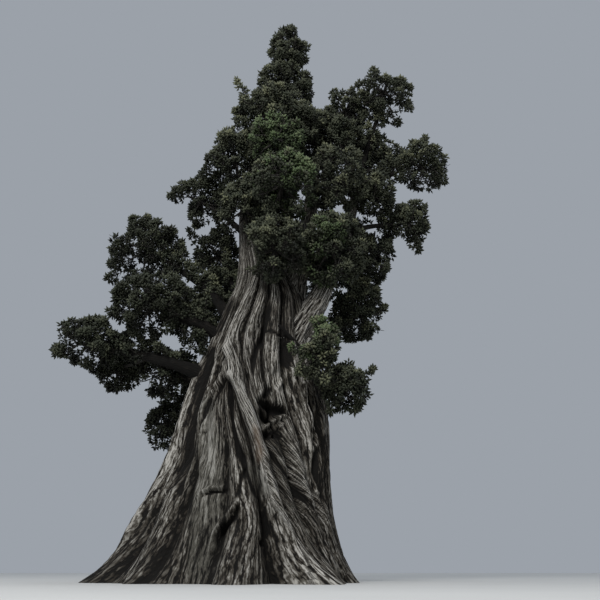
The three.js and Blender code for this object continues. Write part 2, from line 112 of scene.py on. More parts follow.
# The grid's seam lies beside this rope at the back.
SEAM_ROPE = len(FRONT_ROPES) + 3

# Root flares: bearing and half spread in degrees, reach at the ground, and the height that they fade over.
ROOTS = [
    (182, 32, 0.69, 0.48),
    (222, 20, 0.38, 0.33),
    (268, 22, 0.33, 0.30),
    (316, 24, 0.38, 0.33),
    (2, 26, 0.17, 0.30),
    (48, 26, 0.42, 0.38),
    (95, 24, 0.52, 0.40),
    (140, 24, 0.43, 0.36),
]

# Hollows: bearing, height, half spread in degrees, half rise, and depth.
HOLLOWS = [
    (284, 1.90, 9, 0.15, 0.26),
    (283, 1.64, 7, 0.09, 0.12),
    (262, 0.42, 8, 0.19, 0.15),
]

# Boughs, in millimetres: where each leaves, a point that it bends through, where it ends, and its radius at
# both ends.
BOUGHS = {
    "left_long": ([-420, -60, 2620], [-1080, -270, 2810], [-1790, -190, 3000], [105, 46]),
    "left_low": ([-380, 120, 2440], [-620, 140, 2590], [-850, 150, 2680], [80, 44]),
    "left_mid": ([-240, -80, 3050], [-550, -230, 3310], [-930, -300, 3440], [100, 52]),
    "left_fork": ([-180, 180, 3180], [-400, 430, 3420], [-690, 680, 3670], [80, 42]),
    "left_high": ([-150, 60, 3350], [-570, 170, 3990], [-1230, 410, 4560], [90, 40]),
    "left_inner": ([-20, 160, 3700], [-200, 520, 4100], [-430, 800, 4600], [80, 38]),
    "left_hang": ([-380, 420, 2600], [-760, 700, 2680], [-1100, 830, 2450], [70, 30]),
    "left_shoulder": ([90, 80, 4620], [-120, 190, 4990], [-440, 310, 5350], [70, 34]),
    "second_leader": ([520, 30, 3550], [830, 60, 4750], [1010, 210, 6350], [190, 60]),
    "right_bough": ([600, -330, 2980], [1180, -150, 4100], [1740, 350, 6050], [175, 60]),
    "right_up": ([1700, 320, 5900], [1850, 350, 6600], [2050, 230, 7160], [54, 30]),
    "right_out": ([1670, 300, 5780], [1960, 310, 5990], [2280, 280, 6110], [52, 30]),
    "right_low_out": ([1470, 80, 4960], [1820, 50, 5030], [2150, 120, 5100], [48, 26]),
    "right_bulge": ([640, 240, 3000], [1030, 490, 3260], [1400, 680, 3650], [90, 48]),
    "front_low": ([330, -220, 3800], [380, -400, 3920], [400, -530, 4010], [70, 42]),
    "front_high": ([100, -20, 4560], [280, -300, 4780], [420, -520, 4970], [70, 40]),
    "front_left": ([60, 0, 4650], [10, -150, 4800], [-20, -230, 4880], [60, 36]),
    "crown_fore": ([70, 20, 5600], [190, -160, 5820], [310, -320, 5980], [55, 34]),
    "crown_right": ([120, 50, 6150], [400, -30, 6400], [640, -70, 6580], [48, 28]),
    "back_low": ([330, 250, 3500], [430, 640, 3660], [480, 1020, 3900], [95, 50]),
    "back_mid": ([150, 150, 4500], [220, 500, 4760], [290, 860, 5060], [70, 38]),
    "back_right": ([770, 110, 4300], [990, 570, 4520], [1180, 1070, 4770], [70, 38]),
    "back_top": ([30, 80, 5300], [180, 360, 5680], [320, 620, 6050], [60, 34]),
}
# A bough is this much thicker at its foot, and less so over this share of its length.
COLLAR_SWELL, COLLAR_SHARE = 0.35, 1 / 3
# A dead stub in the fork, given like a bough.
STUB = ([800, -470, 2860], [640, -615, 3020], [470, -710, 3185], [50, 20])

# Masses of foliage, in millimetres: centre, half sizes, the bough that carries each (or the height on the
# trunk), the share of the bough's length where its stem leaves, and how densely it grows.
MASSES = {
    "crown_tip": ([570, 0, 8290], [360, 360, 560], 7750, 1, "dense"),
    "crown_neck": ([530, 130, 7680], [540, 480, 430], 7400, 1, "dense"),
    "crown_upper": ([290, -140, 6860], [660, 600, 630], 6700, 1, "dense"),
    "crown_right": ([850, -100, 6780], [400, 460, 560], "crown_right", 1, "dense"),
    "crown_left": ([-250, 40, 6150], [560, 640, 640], 5950, 1, "dense"),
    "crown_fore": ([410, -500, 6190], [520, 440, 490], "crown_fore", 1, "dense"),
    "crown_front": ([500, -780, 5270], [600, 500, 560], "front_high", 1, "dense"),
    "crown_centre": ([1290, -380, 5560], [560, 560, 600], "right_bough", 0.76, "dense"),
    "front_left": ([-60, -370, 5090], [420, 400, 500], "front_left", 1, "dense"),
    "front_low": ([410, -800, 4250], [560, 470, 520], "front_low", 1, "dense"),
    "front_right": ([1200, -560, 4380], [540, 520, 620], "right_bough", 0.45, "dense"),
    "left_shoulder": ([-840, 450, 5690], [590, 530, 520], "left_shoulder", 1, "open"),
    "left_inner": ([-590, 1000, 4980], [470, 480, 580], "left_inner", 1, "open"),
    "left_fork": ([-910, 850, 3880], [430, 440, 530], "left_fork", 1, "open"),
    "left_high": ([-1660, 520, 4840], [690, 570, 590], "left_high", 1, "dense"),
    "left_mid": ([-1340, -330, 3610], [650, 570, 560], "left_mid", 1, "dense"),
    "left_tip": ([-2180, -150, 3100], [570, 480, 500], "left_long", 1, "open"),
    "left_under": ([-1900, 350, 2860], [400, 400, 370], "left_long", 0.66, "open"),
    "left_low": ([-1170, 150, 2780], [540, 470, 460], "left_low", 1, "open"),
    "left_hang": ([-1230, 860, 2150], [360, 380, 430], "left_hang", 1, "open"),
    "right_up": ([2150, 150, 7570], [570, 450, 610], "right_up", 1, "open"),
    "right_up_inner": ([1540, 450, 7430], [480, 450, 500], "right_up", 0.5, "open"),
    "right_inner": ([1370, 250, 6680], [500, 480, 480], "second_leader", 1, "dense"),
    "right_up_low": ([2060, 700, 6640], [460, 450, 470], "right_bough", 1, "open"),
    "right_shoulder": ([1910, -50, 5500], [390, 410, 450], "right_bough", 0.86, "open"),
    "right_out": ([2700, 250, 6220], [510, 440, 500], "right_out", 1, "open"),
    "right_low_out": ([2430, 150, 5150], [350, 330, 480], "right_low_out", 1, "open"),
    "right_flank": ([1910, 560, 4900], [450, 510, 670], "right_bough", 0.62, "dense"),
    "right_bulge": ([1680, 800, 3940], [480, 530, 620], "right_bulge", 1, "dense"),
    "sprout_high": ([990, -960, 2860], [320, 310, 390], 2760, 1, "dense"),
    "sprout_low": ([1340, -640, 2370], [360, 350, 370], 2420, 1, "dense"),
    "back_low": ([490, 1450, 4200], [730, 550, 610], "back_low", 1, "dense"),
    "back_right": ([1350, 1500, 5100], [660, 540, 680], "back_right", 1, "dense"),
    "back_mid": ([340, 1250, 5380], [650, 530, 570], "back_mid", 1, "dense"),
    "back_left": ([-430, 1480, 4560], [560, 520, 600], "left_inner", 0.6, "dense"),
    "back_top": ([470, 950, 6440], [630, 510, 610], "back_top", 1, "dense"),
}
# Places where the crown is open, on the plane y = 0 as seen from the viewpoint: x, height and radius.
VIEWPOINT = (0.755, -9.5, 0.15)
OPENINGS = [
    (1.05, 7.26, 0.14), (-1.14, 5.27, 0.16), (-2.1, 5.08, 0.15), (2.33, 5.52, 0.15), (2.23, 4.73, 0.14),
    (2.17, 4.37, 0.12), (1.84, 3.2, 0.13), (1.63, 2.86, 0.12), (-2.74, 3.63, 0.09), (-2.14, 2.6, 0.12),
    (0.25, 8.59, 0.08), (0.84, 8.7, 0.18), (0.96, 8.5, 0.09), (0.26, 8.89, 0.07), (0.72, 5.6, 0.06),
    (1.37, 5.29, 0.1), (1.81, 4.95, 0.1), (1.41, 3.97, 0.09), (-1.15, 3.22, 0.1), (-1.03, 3.08, 0.09),
    (-0.03, 4.48, 0.16), (-0.15, 5.15, 0.13), (-0.12, 4.8, 0.11), (0.78, 3.32, 0.2), (-1.95, 4.95, 0.13),
    (2.29, 7.9, 0.12), (2.5, 7.84, 0.08), (2.32, 4.74, 0.09), (-2.42, 3.57, 0.09), (1.93, 3.46, 0.1),
    (0.99, 7.66, 0.09), (-0.72, 6.34, 0.09), (-0.95, 5.89, 0.08), (-0.98, 5.31, 0.08), (2.07, 4.21, 0.09),
    (1.69, 3.16, 0.09), (-2.25, 2.75, 0.08), (-1.9, 3.42, 0.08),
]
# Masses with young foliage, how far out it reaches, where 1 is the outline, and the size of its patches.
YOUNG_MASSES = {"crown_fore": 1.2, "crown_front": 0.65, "front_right": 0.5, "sprout_high": 1.1}
PATCH = 0.4
# Masses that catch more light, and how much.
LIT_MASSES = {"sprout_high": 0.15}
# Foliage left of this place, and fully so this far beyond it, is in the tree's own shade.
LEFT_SHADE_FROM, LEFT_SHADE_OVER = -0.3, 0.7
# Masses keep this gap to each other.
MASS_GAP = 0.02
# Plumes that reach out of their mass, in metres: where each starts, its direction and its length.
LOOSE_PLUMES = {
    "sprout_high": [
        ([0.93, -0.98, 2.85], [-0.8, -0.2, -0.45], 0.3),
        ([0.95, -0.98, 2.75], [-0.5, -0.2, -0.9], 0.45),
        ([1.02, -0.95, 2.7], [0.1, -0.3, -1], 0.5),
    ],
    "sprout_low": [
        ([1.25, -0.7, 2.5], [-0.8, -0.4, 0.4], 0.45),
        ([1.2, -0.75, 2.4], [-0.9, -0.4, 0], 0.4),
        ([1.38, -0.6, 2.48], [1, 0, 0.15], 0.33),
        ([1.25, -0.65, 2.25], [-0.4, -0.3, -1], 0.28),
        ([1.4, -0.6, 2.25], [0.3, -0.1, -1], 0.2),
    ],
    "crown_left": [([-0.2, 0, 6.4], [-0.15, -0.1, 1], 0.55)],
    "crown_upper": [([0.1, -0.14, 7.0], [-0.6, 0, 0.75], 0.6)],
    "left_high": [([-1.9, 0.4, 4.5], [-0.5, -0.2, -0.6], 0.4)],
    "left_inner": [([-0.8, 1, 5.1], [-0.7, 0, 0.6], 0.4), ([-0.5, 0.9, 5], [-0.2, 0, 1], 0.4)],
    "left_mid": [
        ([-1, -0.3, 3.3], [0.8, 0, -0.4], 0.45),
        ([-1.2, -0.3, 3.4], [-0.2, 0, -1], 0.4),
        ([-0.5, -0.23, 3.28], [-0.2, -0.1, -1], 0.42),
        ([-0.62, -0.26, 3.34], [0.2, -0.2, 1], 0.4),
    ],
    "left_low": [([-0.95, 0.1, 2.95], [0.6, -0.2, 0.6], 0.4)],
    "right_up": [([2.2, 0.1, 7.3], [0.3, 0, -1], 0.5)],
    "right_low_out": [([2.42, 0.12, 5.0], [0.3, 0, -1], 0.42)],
    "right_out": [([2.8, 0.1, 6.2], [0.5, 0, -1], 0.5), ([2.7, 0.2, 6.35], [0.3, 0, 1], 0.32)],
}
# Twigs of a mass, and the share of its reach at which they end.
TWIGS = {"dense": (14, 0.5), "open": (13, 0.36)}
# Radius of a stem on the trunk and of a twig, and that of a stem beside its limb's end or side.
STEM_RADIUS = 0.036
TWIG_RADIUS = 0.024
STEM_OF_TIP, STEM_OF_SIDE = 0.9, 0.7
# How far twigs lean aside and turn up.
LEAN = 0.7
UPTURN = 0.22
# Seed of the first mass, and how much later each next one's is.
FIRST_SEED, SEED_STEP = 11, 7
GOLDEN_ANGLE = math.pi * (3 - math.sqrt(5))
UP = np.array([0.0, 0.0, 1.0])
# A direction that rises more than this is too near to +Z to be crossed with it.
STEEP = 0.9


# Bark that the solids don't have: strands and creases along paths of (bearing, height)

# Strands that stand out of the ropes: half width and height in metres, then the path.
STRANDS = {
    "left_edge": (0.07, 0.06, [
        (197, 3.05), (194, 2.75), (191, 2.4), (190, 2.1), (189, 1.75), (187, 1.35), (185, 0.9), (183, 0.4),
    ]),
    "in_the_gap": (0.035, 0.05, [(203, 3.0), (200, 2.75), (197, 2.55), (196, 2.3), (195, 2.0), (194, 1.7)]),
    "behind_the_edge": (0.04, 0.05, [
        (223, 3.0), (223, 2.7), (222, 2.45), (221, 2.2), (220, 2.0), (218, 1.7), (217, 1.45),
    ]),
    "over_the_panel": (0.045, 0.07, [(236, 2.65), (234, 2.45), (228, 2.32), (224, 2.2)]),
    "panel_swell": (0.09, 0.06, [(224, 2.25), (225, 1.95), (226, 1.7), (229, 1.45), (236, 1.2)]),
    "bent": (0.1, 0.12, [
        (249, 3.45), (247, 3.2), (247, 2.95), (245, 2.78), (243, 2.65), (248, 2.5), (256, 2.4),
        (263, 2.28), (267, 2.15), (270, 2.05), (273, 1.88), (276, 1.7), (279, 1.5),
    ]),
    "bent_crest": (0.035, 0.045, [
        (247, 3.0), (246, 2.85), (243, 2.72), (245, 2.57), (253, 2.44), (260, 2.33), (265, 2.2),
    ]),
    "bent_branch": (0.07, 0.05, [
        (255, 2.2), (257, 2.0), (260, 1.8), (265, 1.65), (270, 1.53), (274, 1.42),
    ]),
    "bent_twin": (0.035, 0.035, [(267, 1.9), (271, 1.76), (275, 1.62), (277, 1.5)]),
    "middle": (0.09, 0.11, [
        (268, 3.8), (266, 3.6), (263, 3.4), (260, 3.2), (258, 3.0), (257, 2.8), (258, 2.63), (262, 2.45),
    ]),
    "boss": (0.1, 0.08, [(285, 2.85), (285, 2.7), (283, 2.5)]),
    "to_the_hollow": (0.05, 0.05, [(283, 2.6), (281, 2.45), (276, 2.36), (271, 2.25)]),
    "to_the_hollow_low": (0.04, 0.05, [(283, 2.45), (279, 2.33), (275, 2.23), (272, 2.15)]),
    "over_the_hollow": (0.035, 0.045, [(294, 2.5), (291, 2.37), (287, 2.28), (290, 2.2)]),
    "hollow_side": (0.04, 0.045, [
        (264, 2.3), (268, 2.16), (271, 2.04), (273, 1.93), (275, 1.82), (277, 1.7),
    ]),
    "hollow_curl": (0.03, 0.07, [(281, 2.28), (282, 2.2), (284, 2.14), (288, 2.1), (293, 2.08)]),
    "hollow_lip": (0.045, 0.12, [(279, 1.77), (283, 1.84), (288, 1.9), (293, 1.95), (299, 2.0)]),
    "lower_lip": (0.03, 0.06, [(284, 1.66), (289, 1.75), (293, 1.82), (297, 1.92)]),
    "right_strand": (0.06, 0.07, [
        (298, 2.75), (302, 2.55), (304, 2.4), (307, 2.23), (310, 2.08), (314, 1.93), (316, 1.8),
    ]),
    "right_second": (0.04, 0.045, [(303, 2.73), (305, 2.55), (310, 2.42), (315, 2.28), (322, 2.18)]),
    "right_third": (0.035, 0.035, [(321, 2.42), (323, 2.28), (325, 2.14), (328, 2.0)]),
    "right_rope": (0.05, 0.04, [(334, 2.35), (333, 2.15), (331, 1.98), (334, 1.8), (336, 1.65)]),
    "right_pale": (0.045, 0.05, [
        (310, 2.0), (313, 1.85), (314, 1.7), (317, 1.5), (320, 1.3), (324, 1.1), (327, 0.9),
    ]),
    "flank_top": (0.03, 0.03, [(284, 1.58), (289, 1.46), (296, 1.33), (304, 1.25), (309, 1.18)]),
    "flank_high": (0.03, 0.03, [(306, 1.22), (311, 1.08), (316, 0.95), (324, 0.84), (332, 0.75)]),
    "flank_middle": (0.02, 0.02, [(311, 1.11), (315, 1.0), (326, 0.93)]),
    "flank_low": (0.022, 0.025, [(309, 1.0), (314, 0.89), (318, 0.81), (326, 0.75)]),
    "foot_ridge": (0.04, 0.07, [
        (277, 1.48), (279, 1.33), (282, 1.2), (284, 1.08), (287, 0.95), (289, 0.85), (292, 0.75),
        (296, 0.6), (300, 0.35),
    ]),
    "foot_second": (0.03, 0.035, [
        (278, 1.45), (281, 1.33), (285, 1.2), (288, 1.05), (292, 0.9), (296, 0.75), (300, 0.6),
    ]),
    "foot_third": (0.03, 0.035, [(286, 1.2), (292, 1.03), (299, 0.93), (303, 0.82), (307, 0.67)]),
    "root_crest": (0.05, 0.05, [(188, 1.9), (187, 1.4), (185, 0.95), (184, 0.5), (183, 0.2)]),
    "root_second": (0.045, 0.045, [(192, 1.4), (190, 1.15), (188, 0.95), (186, 0.75), (185, 0.4)]),
    "root_third": (0.04, 0.04, [(215, 1.2), (211, 1.05), (204, 0.95), (196, 0.85), (193, 0.6)]),
    "panel_lip": (0.035, 0.05, [
        (238, 0.92), (241, 1.02), (245, 1.07), (250, 1.08), (254, 1.09), (258, 1.07),
    ]),
    "arch": (0.045, 0.08, [
        (272, 0.98), (268, 0.85), (262, 0.74), (257, 0.62), (255, 0.52), (254, 0.3), (253, 0.1),
    ]),
    "arch_second": (0.03, 0.05, [(270, 0.8), (264, 0.7), (258, 0.61), (256, 0.5), (255, 0.35)]),
    "arch_rim": (0.03, 0.05, [(270, 0.95), (273, 0.82), (273, 0.72), (270, 0.66)]),
    "flake": (0.03, 0.05, [(275, 0.95), (275, 0.8), (277, 0.68), (280, 0.58), (284, 0.47)]),
    "flake_right": (0.03, 0.04, [(276, 0.93), (279, 0.82), (282, 0.68), (284, 0.55), (285, 0.46)]),
    "small_flake": (0.025, 0.035, [(272, 1.02), (273, 0.9)]),
    "burl": (0.2, 0.14, [(267, 0.42), (268, 0.25)]),
}

# Creases between them: half width and depth in metres, then the path.
CREASES = {
    "left_of_the_panel": (0.2, 0.2, [
        (209, 3.1), (211, 2.7), (212, 2.3), (212, 1.95), (212, 1.65), (213, 1.4), (215, 1.1),
    ]),
    "panel_edge": (0.05, 0.07, [(219, 1.5), (219, 1.3), (221, 1.12), (223, 0.98)]),
    "beside_the_panel_top": (0.03, 0.06, [(226, 2.5), (225, 2.25), (224, 2.0), (222, 1.75), (220, 1.5)]),
    "top_of_the_panel": (0.03, 0.06, [(229, 3.0), (230, 2.61), (229, 2.37), (225, 2.3)]),
    "beside_over_the_panel": (0.035, 0.06, [(239, 2.5), (236, 2.35), (233, 2.2), (232, 2.05)]),
    "beside_middle": (0.05, 0.09, [
        (277, 3.6), (275, 3.3), (271, 3.05), (267, 2.85), (266, 2.65), (268, 2.45),
    ]),
    "furrow": (0.06, 0.14, [
        (238, 2.55), (246, 2.38), (250, 2.2), (253, 2.03), (255, 1.87), (258, 1.7), (261, 1.56),
        (266, 1.43), (270, 1.3), (273, 1.15),
    ]),
    "fork": (0.06, 0.12, [(298, 2.99), (298, 2.85), (299, 2.7), (300, 2.6)]),
    "over_the_boss": (0.025, 0.03, [(270, 3.06), (274, 3.13), (280, 3.12), (287, 3.08), (294, 3.04)]),
    "hollow": (0.07, 0.16, [(273, 2.14), (279, 2.1), (286, 2.08), (292, 2.03), (301, 1.97)]),
    "hollow_low": (0.045, 0.09, [(276, 2.04), (278, 1.96), (283, 1.92), (288, 1.95)]),
    "hollow_top": (0.04, 0.06, [(284, 2.32), (281, 2.25), (277, 2.17)]),
    "second_hollow": (0.06, 0.12, [(281, 1.76), (284, 1.71), (289, 1.73), (294, 1.82)]),
    "second_hollow_right": (0.04, 0.07, [(287, 1.68), (292, 1.72), (296, 1.7)]),
    "left_of_right_strand": (0.02, 0.03, [(299, 2.5), (302, 2.35), (305, 2.23), (308, 2.12), (310, 2.02)]),
    "beside_right_strand": (0.05, 0.1, [
        (302, 2.7), (306, 2.42), (309, 2.27), (312, 2.16), (316, 2.03), (319, 1.9), (320, 1.75),
        (319, 1.6),
    ]),
    "between_right_strands": (0.025, 0.045, [(320, 2.43), (321, 2.32), (323, 2.2), (325, 2.08)]),
    "right_edge_dark": (0.07, 0.1, [
        (322, 1.62), (322, 1.43), (323, 1.29), (325, 1.18), (328, 1.05), (331, 0.85),
    ]),
    "flank_dark": (0.03, 0.035, [
        (285, 1.52), (290, 1.4), (297, 1.25), (303, 1.17), (309, 1.06), (315, 0.92), (321, 0.8),
    ]),
    "beside_the_bare_wood": (0.035, 0.05, [(269, 1.3), (274, 1.16), (278, 1.04), (282, 0.93)]),
    "over_the_arch": (0.035, 0.05, [(270, 1.32), (269, 1.18), (269, 1.05), (269, 0.93)]),
    "under_the_arch": (0.045, 0.08, [
        (271, 0.9), (270, 0.8), (269, 0.72), (265, 0.65), (261, 0.58), (259, 0.5),
    ]),
    "beside_the_flake": (0.03, 0.05, [(286, 0.8), (288, 0.7), (289, 0.58), (290, 0.48)]),
    "foot_hole": (0.045, 0.08, [(286, 0.44), (286.2, 0.43)]),
    "left_roots": (0.04, 0.08, [
        (213, 1.35), (212, 1.13), (205, 1.0), (196, 0.92), (191, 0.75), (190, 0.5),
    ]),
    "panel_crack": (0.02, 0.045, [(242, 0.98), (247, 1.015), (252, 1.02), (256, 1.03), (260, 1.04)]),
    "panel_check": (0.012, 0.015, [(222, 1.77), (225, 1.79), (229, 1.78)]),
}

# Bare, weathered wood where the bark has gone: half width, how fully bare, then the path. Past 1, the part
# that is fully bare is wider.
BARE_WOOD = {
    "panel_top": (0.2, 1.6, [(227, 2.15), (229, 1.85)]),
    "panel": (0.3, 1.6, [(231, 1.7), (236, 1.35)]),
    "panel_low": (0.38, 1.6, [(240, 1.2), (247, 0.8)]),
    "panel_foot": (0.3, 1.6, [(249, 0.6), (251, 0.2)]),
    "below_the_furrow": (0.13, 1.6, [(273, 1.28), (282, 1.02)]),
}
# Bark in the dark of furrows, limbs and foliage: half width, how much darker, then the path.
SHADED_BARK = {
    "left_of_the_panel": (0.11, 0.8, [
        (204, 3.1), (203, 2.75), (202, 2.4), (202, 2.0), (201, 1.6), (203, 1.3), (208, 1.0),
    ]),
    "behind_the_fork": (0.34, 0.4, [(306, 4.1), (306, 3.8), (307, 3.5), (309, 3.1), (309, 2.9)]),
    "fork": (0.08, 0.7, [(296, 3.35), (297, 3.15), (298, 2.95), (298, 2.8), (299, 2.6)]),
    "hollow": (0.12, 0.4, [(274, 2.13), (281, 2.06), (288, 2.03), (297, 1.98)]),
    "second_hollow": (0.13, 0.4, [(280, 1.8), (283, 1.72), (288, 1.66)]),
    "right_flank": (0.3, 0.45, [(338, 3.2), (338, 2.6), (336, 2.0), (335, 1.4), (338, 0.8)]),
    "left_roots": (0.2, 0.4, [(205, 1.0), (203, 0.7), (202, 0.3)]),
    "panel_side": (0.1, 0.25, [(222, 1.75), (225, 1.31), (229, 1.0), (240, 0.7)]),
    "left_edge_top": (0.2, 0.6, [(216, 3.75), (212, 3.55), (207, 3.36), (201, 3.2)]),
    "right_of_the_middle": (0.12, 0.4, [(281, 3.6), (280, 3.3), (280, 3.1), (278, 2.95)]),
    "below_the_hollow": (0.16, 0.45, [(288, 1.7), (291, 1.56), (293, 1.42)]),
    "foot_of_the_bent_rope": (0.12, 0.4, [(282, 1.42), (286, 1.22), (288, 1.02)]),
    "furrow": (0.1, 0.3, [(258, 1.7), (264, 1.45), (268, 1.25)]),
}
# Bark that catches more light: half width, how much paler, then the path.
PALE_BARK = {
    "panel": (0.1, 0.2, [(225, 2.1), (228, 1.88), (234, 1.69), (242, 1.39), (248, 1.1)]),
    "panel_low": (0.16, 0.2, [(246, 1.1), (248, 0.85), (250, 0.6)]),
    "panel_right": (0.1, 0.3, [(255, 1.1), (258, 0.9), (259, 0.7)]),
    "over_the_hollow": (0.16, 0.2, [(293, 2.5), (295, 2.25)]),
}
# Inner bark where a strip has come off: half width, how fully, then the path.
RUSTY_BARK = {
    "below_the_hollow": (0.06, 1, [(272, 1.8), (275, 1.66), (277, 1.5), (279, 1.32)]),
}
# Between these two seams, bearings at rising heights, the strips slant down to the right, by so many ropes.
SLANT_HEIGHTS = [0.3, 0.6, 0.85, 1.1, 1.4, 1.8]
SLANT_LEFT, SLANT_RIGHT = [303, 296, 289, 284, 279, 277], [345, 338, 330, 322, 316, 311]
SLANT_ROPES, SLANT_DROP = 1.8, 1.2


# Small helpers

def hex_colour(code):
    """The linear colour of an sRGB hex code."""
    shares = [int(code[i:i + 2], 16) / 255 for i in (0, 2, 4)]
    return [c / 12.92 if c <= 0.04045 else ((c + 0.055) / 1.055) ** 2.4 for c in shares]


def unit(vectors):
    return vectors / np.linalg.norm(vectors, axis=-1, keepdims=True)


def turn_between(a, b):
    """The turn in degrees from bearing b to bearing a, the short way round."""
    return (a - b + 540) % 360 - 180


def cubic(t, a, slope_a, b, slope_b):
    """The curve from a to b with these slopes at its ends, as t runs from 0 to 1."""
    return (
        (2 * t**3 - 3 * t**2 + 1) * a + (t**3 - 2 * t**2 + t) * slope_a
        + (3 * t**2 - 2 * t**3) * b + (t**3 - t**2) * slope_b
    )


def smooth(places, values, x):
    """The smooth curve of the solids through values given at rising places."""
    values = np.asarray(values, float)
    last = len(places) - 1
    at = np.clip(x, places[0], places[last])
    i = np.clip(np.searchsorted(places, at, side="right") - 1, 0, last - 1)
    steps = np.arange(last + 1)
    before, after = np.maximum(steps - 1, 0), np.minimum(steps + 1, last)
    slopes = (values[after] - values[before]) / (places[after] - places[before])
    span = places[i + 1] - places[i]
    t = (at - places[i]) / span
    return cubic(t, values[i], span * slopes[i], values[i + 1], span * slopes[i + 1])


def at_height(values, height):
    """A measure of the trunk at each height, on the smooth curve of the solids."""
    return smooth(TRUNK_HEIGHTS, values, height)


def noise(seed, x, y, period):
    """Smooth noise from -1 to 1 over a plane, which comes round again after a whole period along x."""
    rows = 97
    table = np.random.default_rng(seed).uniform(-1, 1, (period, rows))
    i, j = np.floor(x).astype(int), np.floor(y).astype(int)
    u, v = x - i, y - j
    u, v = u * u * (3 - 2 * u), v * v * (3 - 2 * v)
    low = table[i % period, j % rows] * (1 - u) + table[(i + 1) % period, j % rows] * u
    high = table[i % period, (j + 1) % rows] * (1 - u) + table[(i + 1) % period, (j + 1) % rows] * u
    return low * (1 - v) + high * v


def seeded(seed):
    """A generator of numbers from 0 to 1, the one that the solids use."""
    state = seed
    while True:
        state = (state * 1103515245 + 12345) % 2147483648
        yield state / 2147483648


def dress(piece, materials, slot, *nodes):
    """Puts a finished piece in the scene in place of its solids."""
    bpy.context.scene.collection.objects.link(piece)
    for material in materials:
        piece.data.materials.append(material)
    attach(piece, "root")
    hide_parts(*nodes)


# Bark as a rolled-up grid

# A ridge runs out over this share of its length at both ends, by this power, down to this share of its width.
RUN_OUT, RUN_OUT_CURVE, END_WIDTH = 0.2, 0.6, 0.4
# Strands this high and slim, and creases this deep, change the tone of the bark fully: strands by a painted
# highlight, creases by painted shade.
HIGH_STRAND, SLIM_STRAND, DEEP_CREASE = 0.08, 0.05, 0.04
# Grooves between strips: half width beside a strip's width, curve, and the finer part of their wander.
GROOVE_SHARE, GROOVE_CURVE = 0.22, 1.5
FINE_WANDER, FINE_WANDER_RATE = 0.4, 2.7
# Strips on the trunk: seed, strips to a rope, turns of their wander in a metre, and how far they wander.
BROAD_STRIPS, NARROW_STRIPS = (3, 4, 1.6, 0.7), (8, 8, 3.2, 0.8)
# Soft lumps: seed, and how many to a rope and to a metre.
LUMPS = (15, 3, 1.2)
# The line between two ropes starts at this share of half a rope, and fades where the strips slant.
BETWEEN_FROM, BETWEEN_LESS_WHERE_SLANTED, SLANTED_FULLY = 0.72, 0.8, 0.5
# How high or deep each of these is, beside the depth of a strip.
LUMP_RELIEF, BROAD_RELIEF, NARROW_RELIEF, BETWEEN_RELIEF = 0.9, 1.4, 0.6, 2.2
# This detail is full where the trunk has this half width, and never falls below this share.
FULL_DETAIL_GIRTH, LEAST_DETAIL = 0.9, 0.12
# Tone of the bark, from 0 in furrows to 1 on crests: what each form adds to it or takes off. Crests are paler
# partly by weathering and partly by painted highlight, and raised strands by painted highlight. Creases,
# grooves, the lines between ropes and the foot are darker by painted shade.
PLAIN_TONE, CREST_TONE, LUMP_TONE, RAISED_TONE = 0.55, 0.3, 0.16, 0.3
BROAD_SHADE, NARROW_SHADE, BETWEEN_SHADE = 0.42, 0.45, 0.45
FOOT_SHADE, FOOT_SHADE_BELOW, FOOT_SHADE_OVER = 0.2, 1.3, 0.8
SUNK_LESS_WHERE_RAISED, SHADED_LESS_WHERE_RAISED = 0.8, 0.7
# How much smoother and how much more evenly pale bare wood is.
SMOOTH_BARE_WOOD, PALE_BARE_WOOD = 0.85, 0.4
# Boughs: seed of the first, least rings and columns, and metres between rings and between columns.
BOUGH_SEED, FEWEST_RINGS, FEWEST_COLUMNS, BOUGH_RING, BOUGH_COLUMN = 30, 10, 14, 0.035, 0.014
STUB_RINGS, STUB_COLUMNS = 14, 16
# Points to each span of a bough's curve.
SPLINE_STEPS = 60
# A bough's strips: their width, how many the grain winds past in a metre, how fast and far they wander,
# and how many lumps there are to a metre.
BOUGH_STRIP, BOUGH_WIND, BOUGH_WANDER_RATE, BOUGH_WANDER, BOUGH_LUMP_RATE = 0.05, 1.2, 3, 0.7, 2.5
# Relief and tone of a bough's bark, each plain, and what its shade adds.
BOUGH_RELIEF, WEATHERED_RELIEF = 0.05, 0.1
BOUGH_LUMP_TONE, BOUGH_GROOVE_SHADE, WEATHERED_GROOVE_SHADE = 0.15, 0.3, 0.6


def rolled(name, columns, rings, place):
    """A closed tube from a grid: place takes each vertex's share round and along, and gives its position, its
    place on the grain in metres, and what the bark is like there."""
    bm = bmesh.new()
    bmesh.ops.create_grid(bm, x_segments=columns, y_segments=rings, size=0.5)
    mesh = bpy.data.meshes.new(name)
    bm.to_mesh(mesh)
    flat = np.empty(len(mesh.vertices) * 3, np.float32)
    mesh.vertices.foreach_get("co", flat)
    around, along = (flat.reshape(-1, 3)[:, :2].astype(float) + 0.5).T
    positions, grain, bark = place(around, along)
    mesh.vertices.foreach_set("co", positions.astype(np.float32).ravel())
    corners = np.empty(len(mesh.loops), np.int32)
    mesh.loops.foreach_get("vertex_index", corners)
    layer = mesh.uv_layers.new(name="grain")
    layer.uv.foreach_set("vector", grain[corners].astype(np.float32).ravel())
    for kind, values in bark.items():
        attribute = mesh.attributes.new(kind, "FLOAT", "POINT")
        attribute.data.foreach_set("value", values.astype(np.float32))
    bm.clear()
    bm.from_mesh(mesh)
    seam = [v for v in bm.verts if v.is_boundary]
    bmesh.ops.remove_doubles(bm, verts=seam, dist=1e-5)
    ends = bmesh.ops.holes_fill(bm, edges=[e for e in bm.edges if e.is_boundary], sides=0)["faces"]
    bmesh.ops.triangulate(bm, faces=ends)
    bmesh.ops.recalc_face_normals(bm, faces=bm.faces)
    for face in bm.faces:
        face.smooth = True
    bm.to_mesh(mesh)
    bm.free()
    return bpy.data.objects.new(name, mesh)


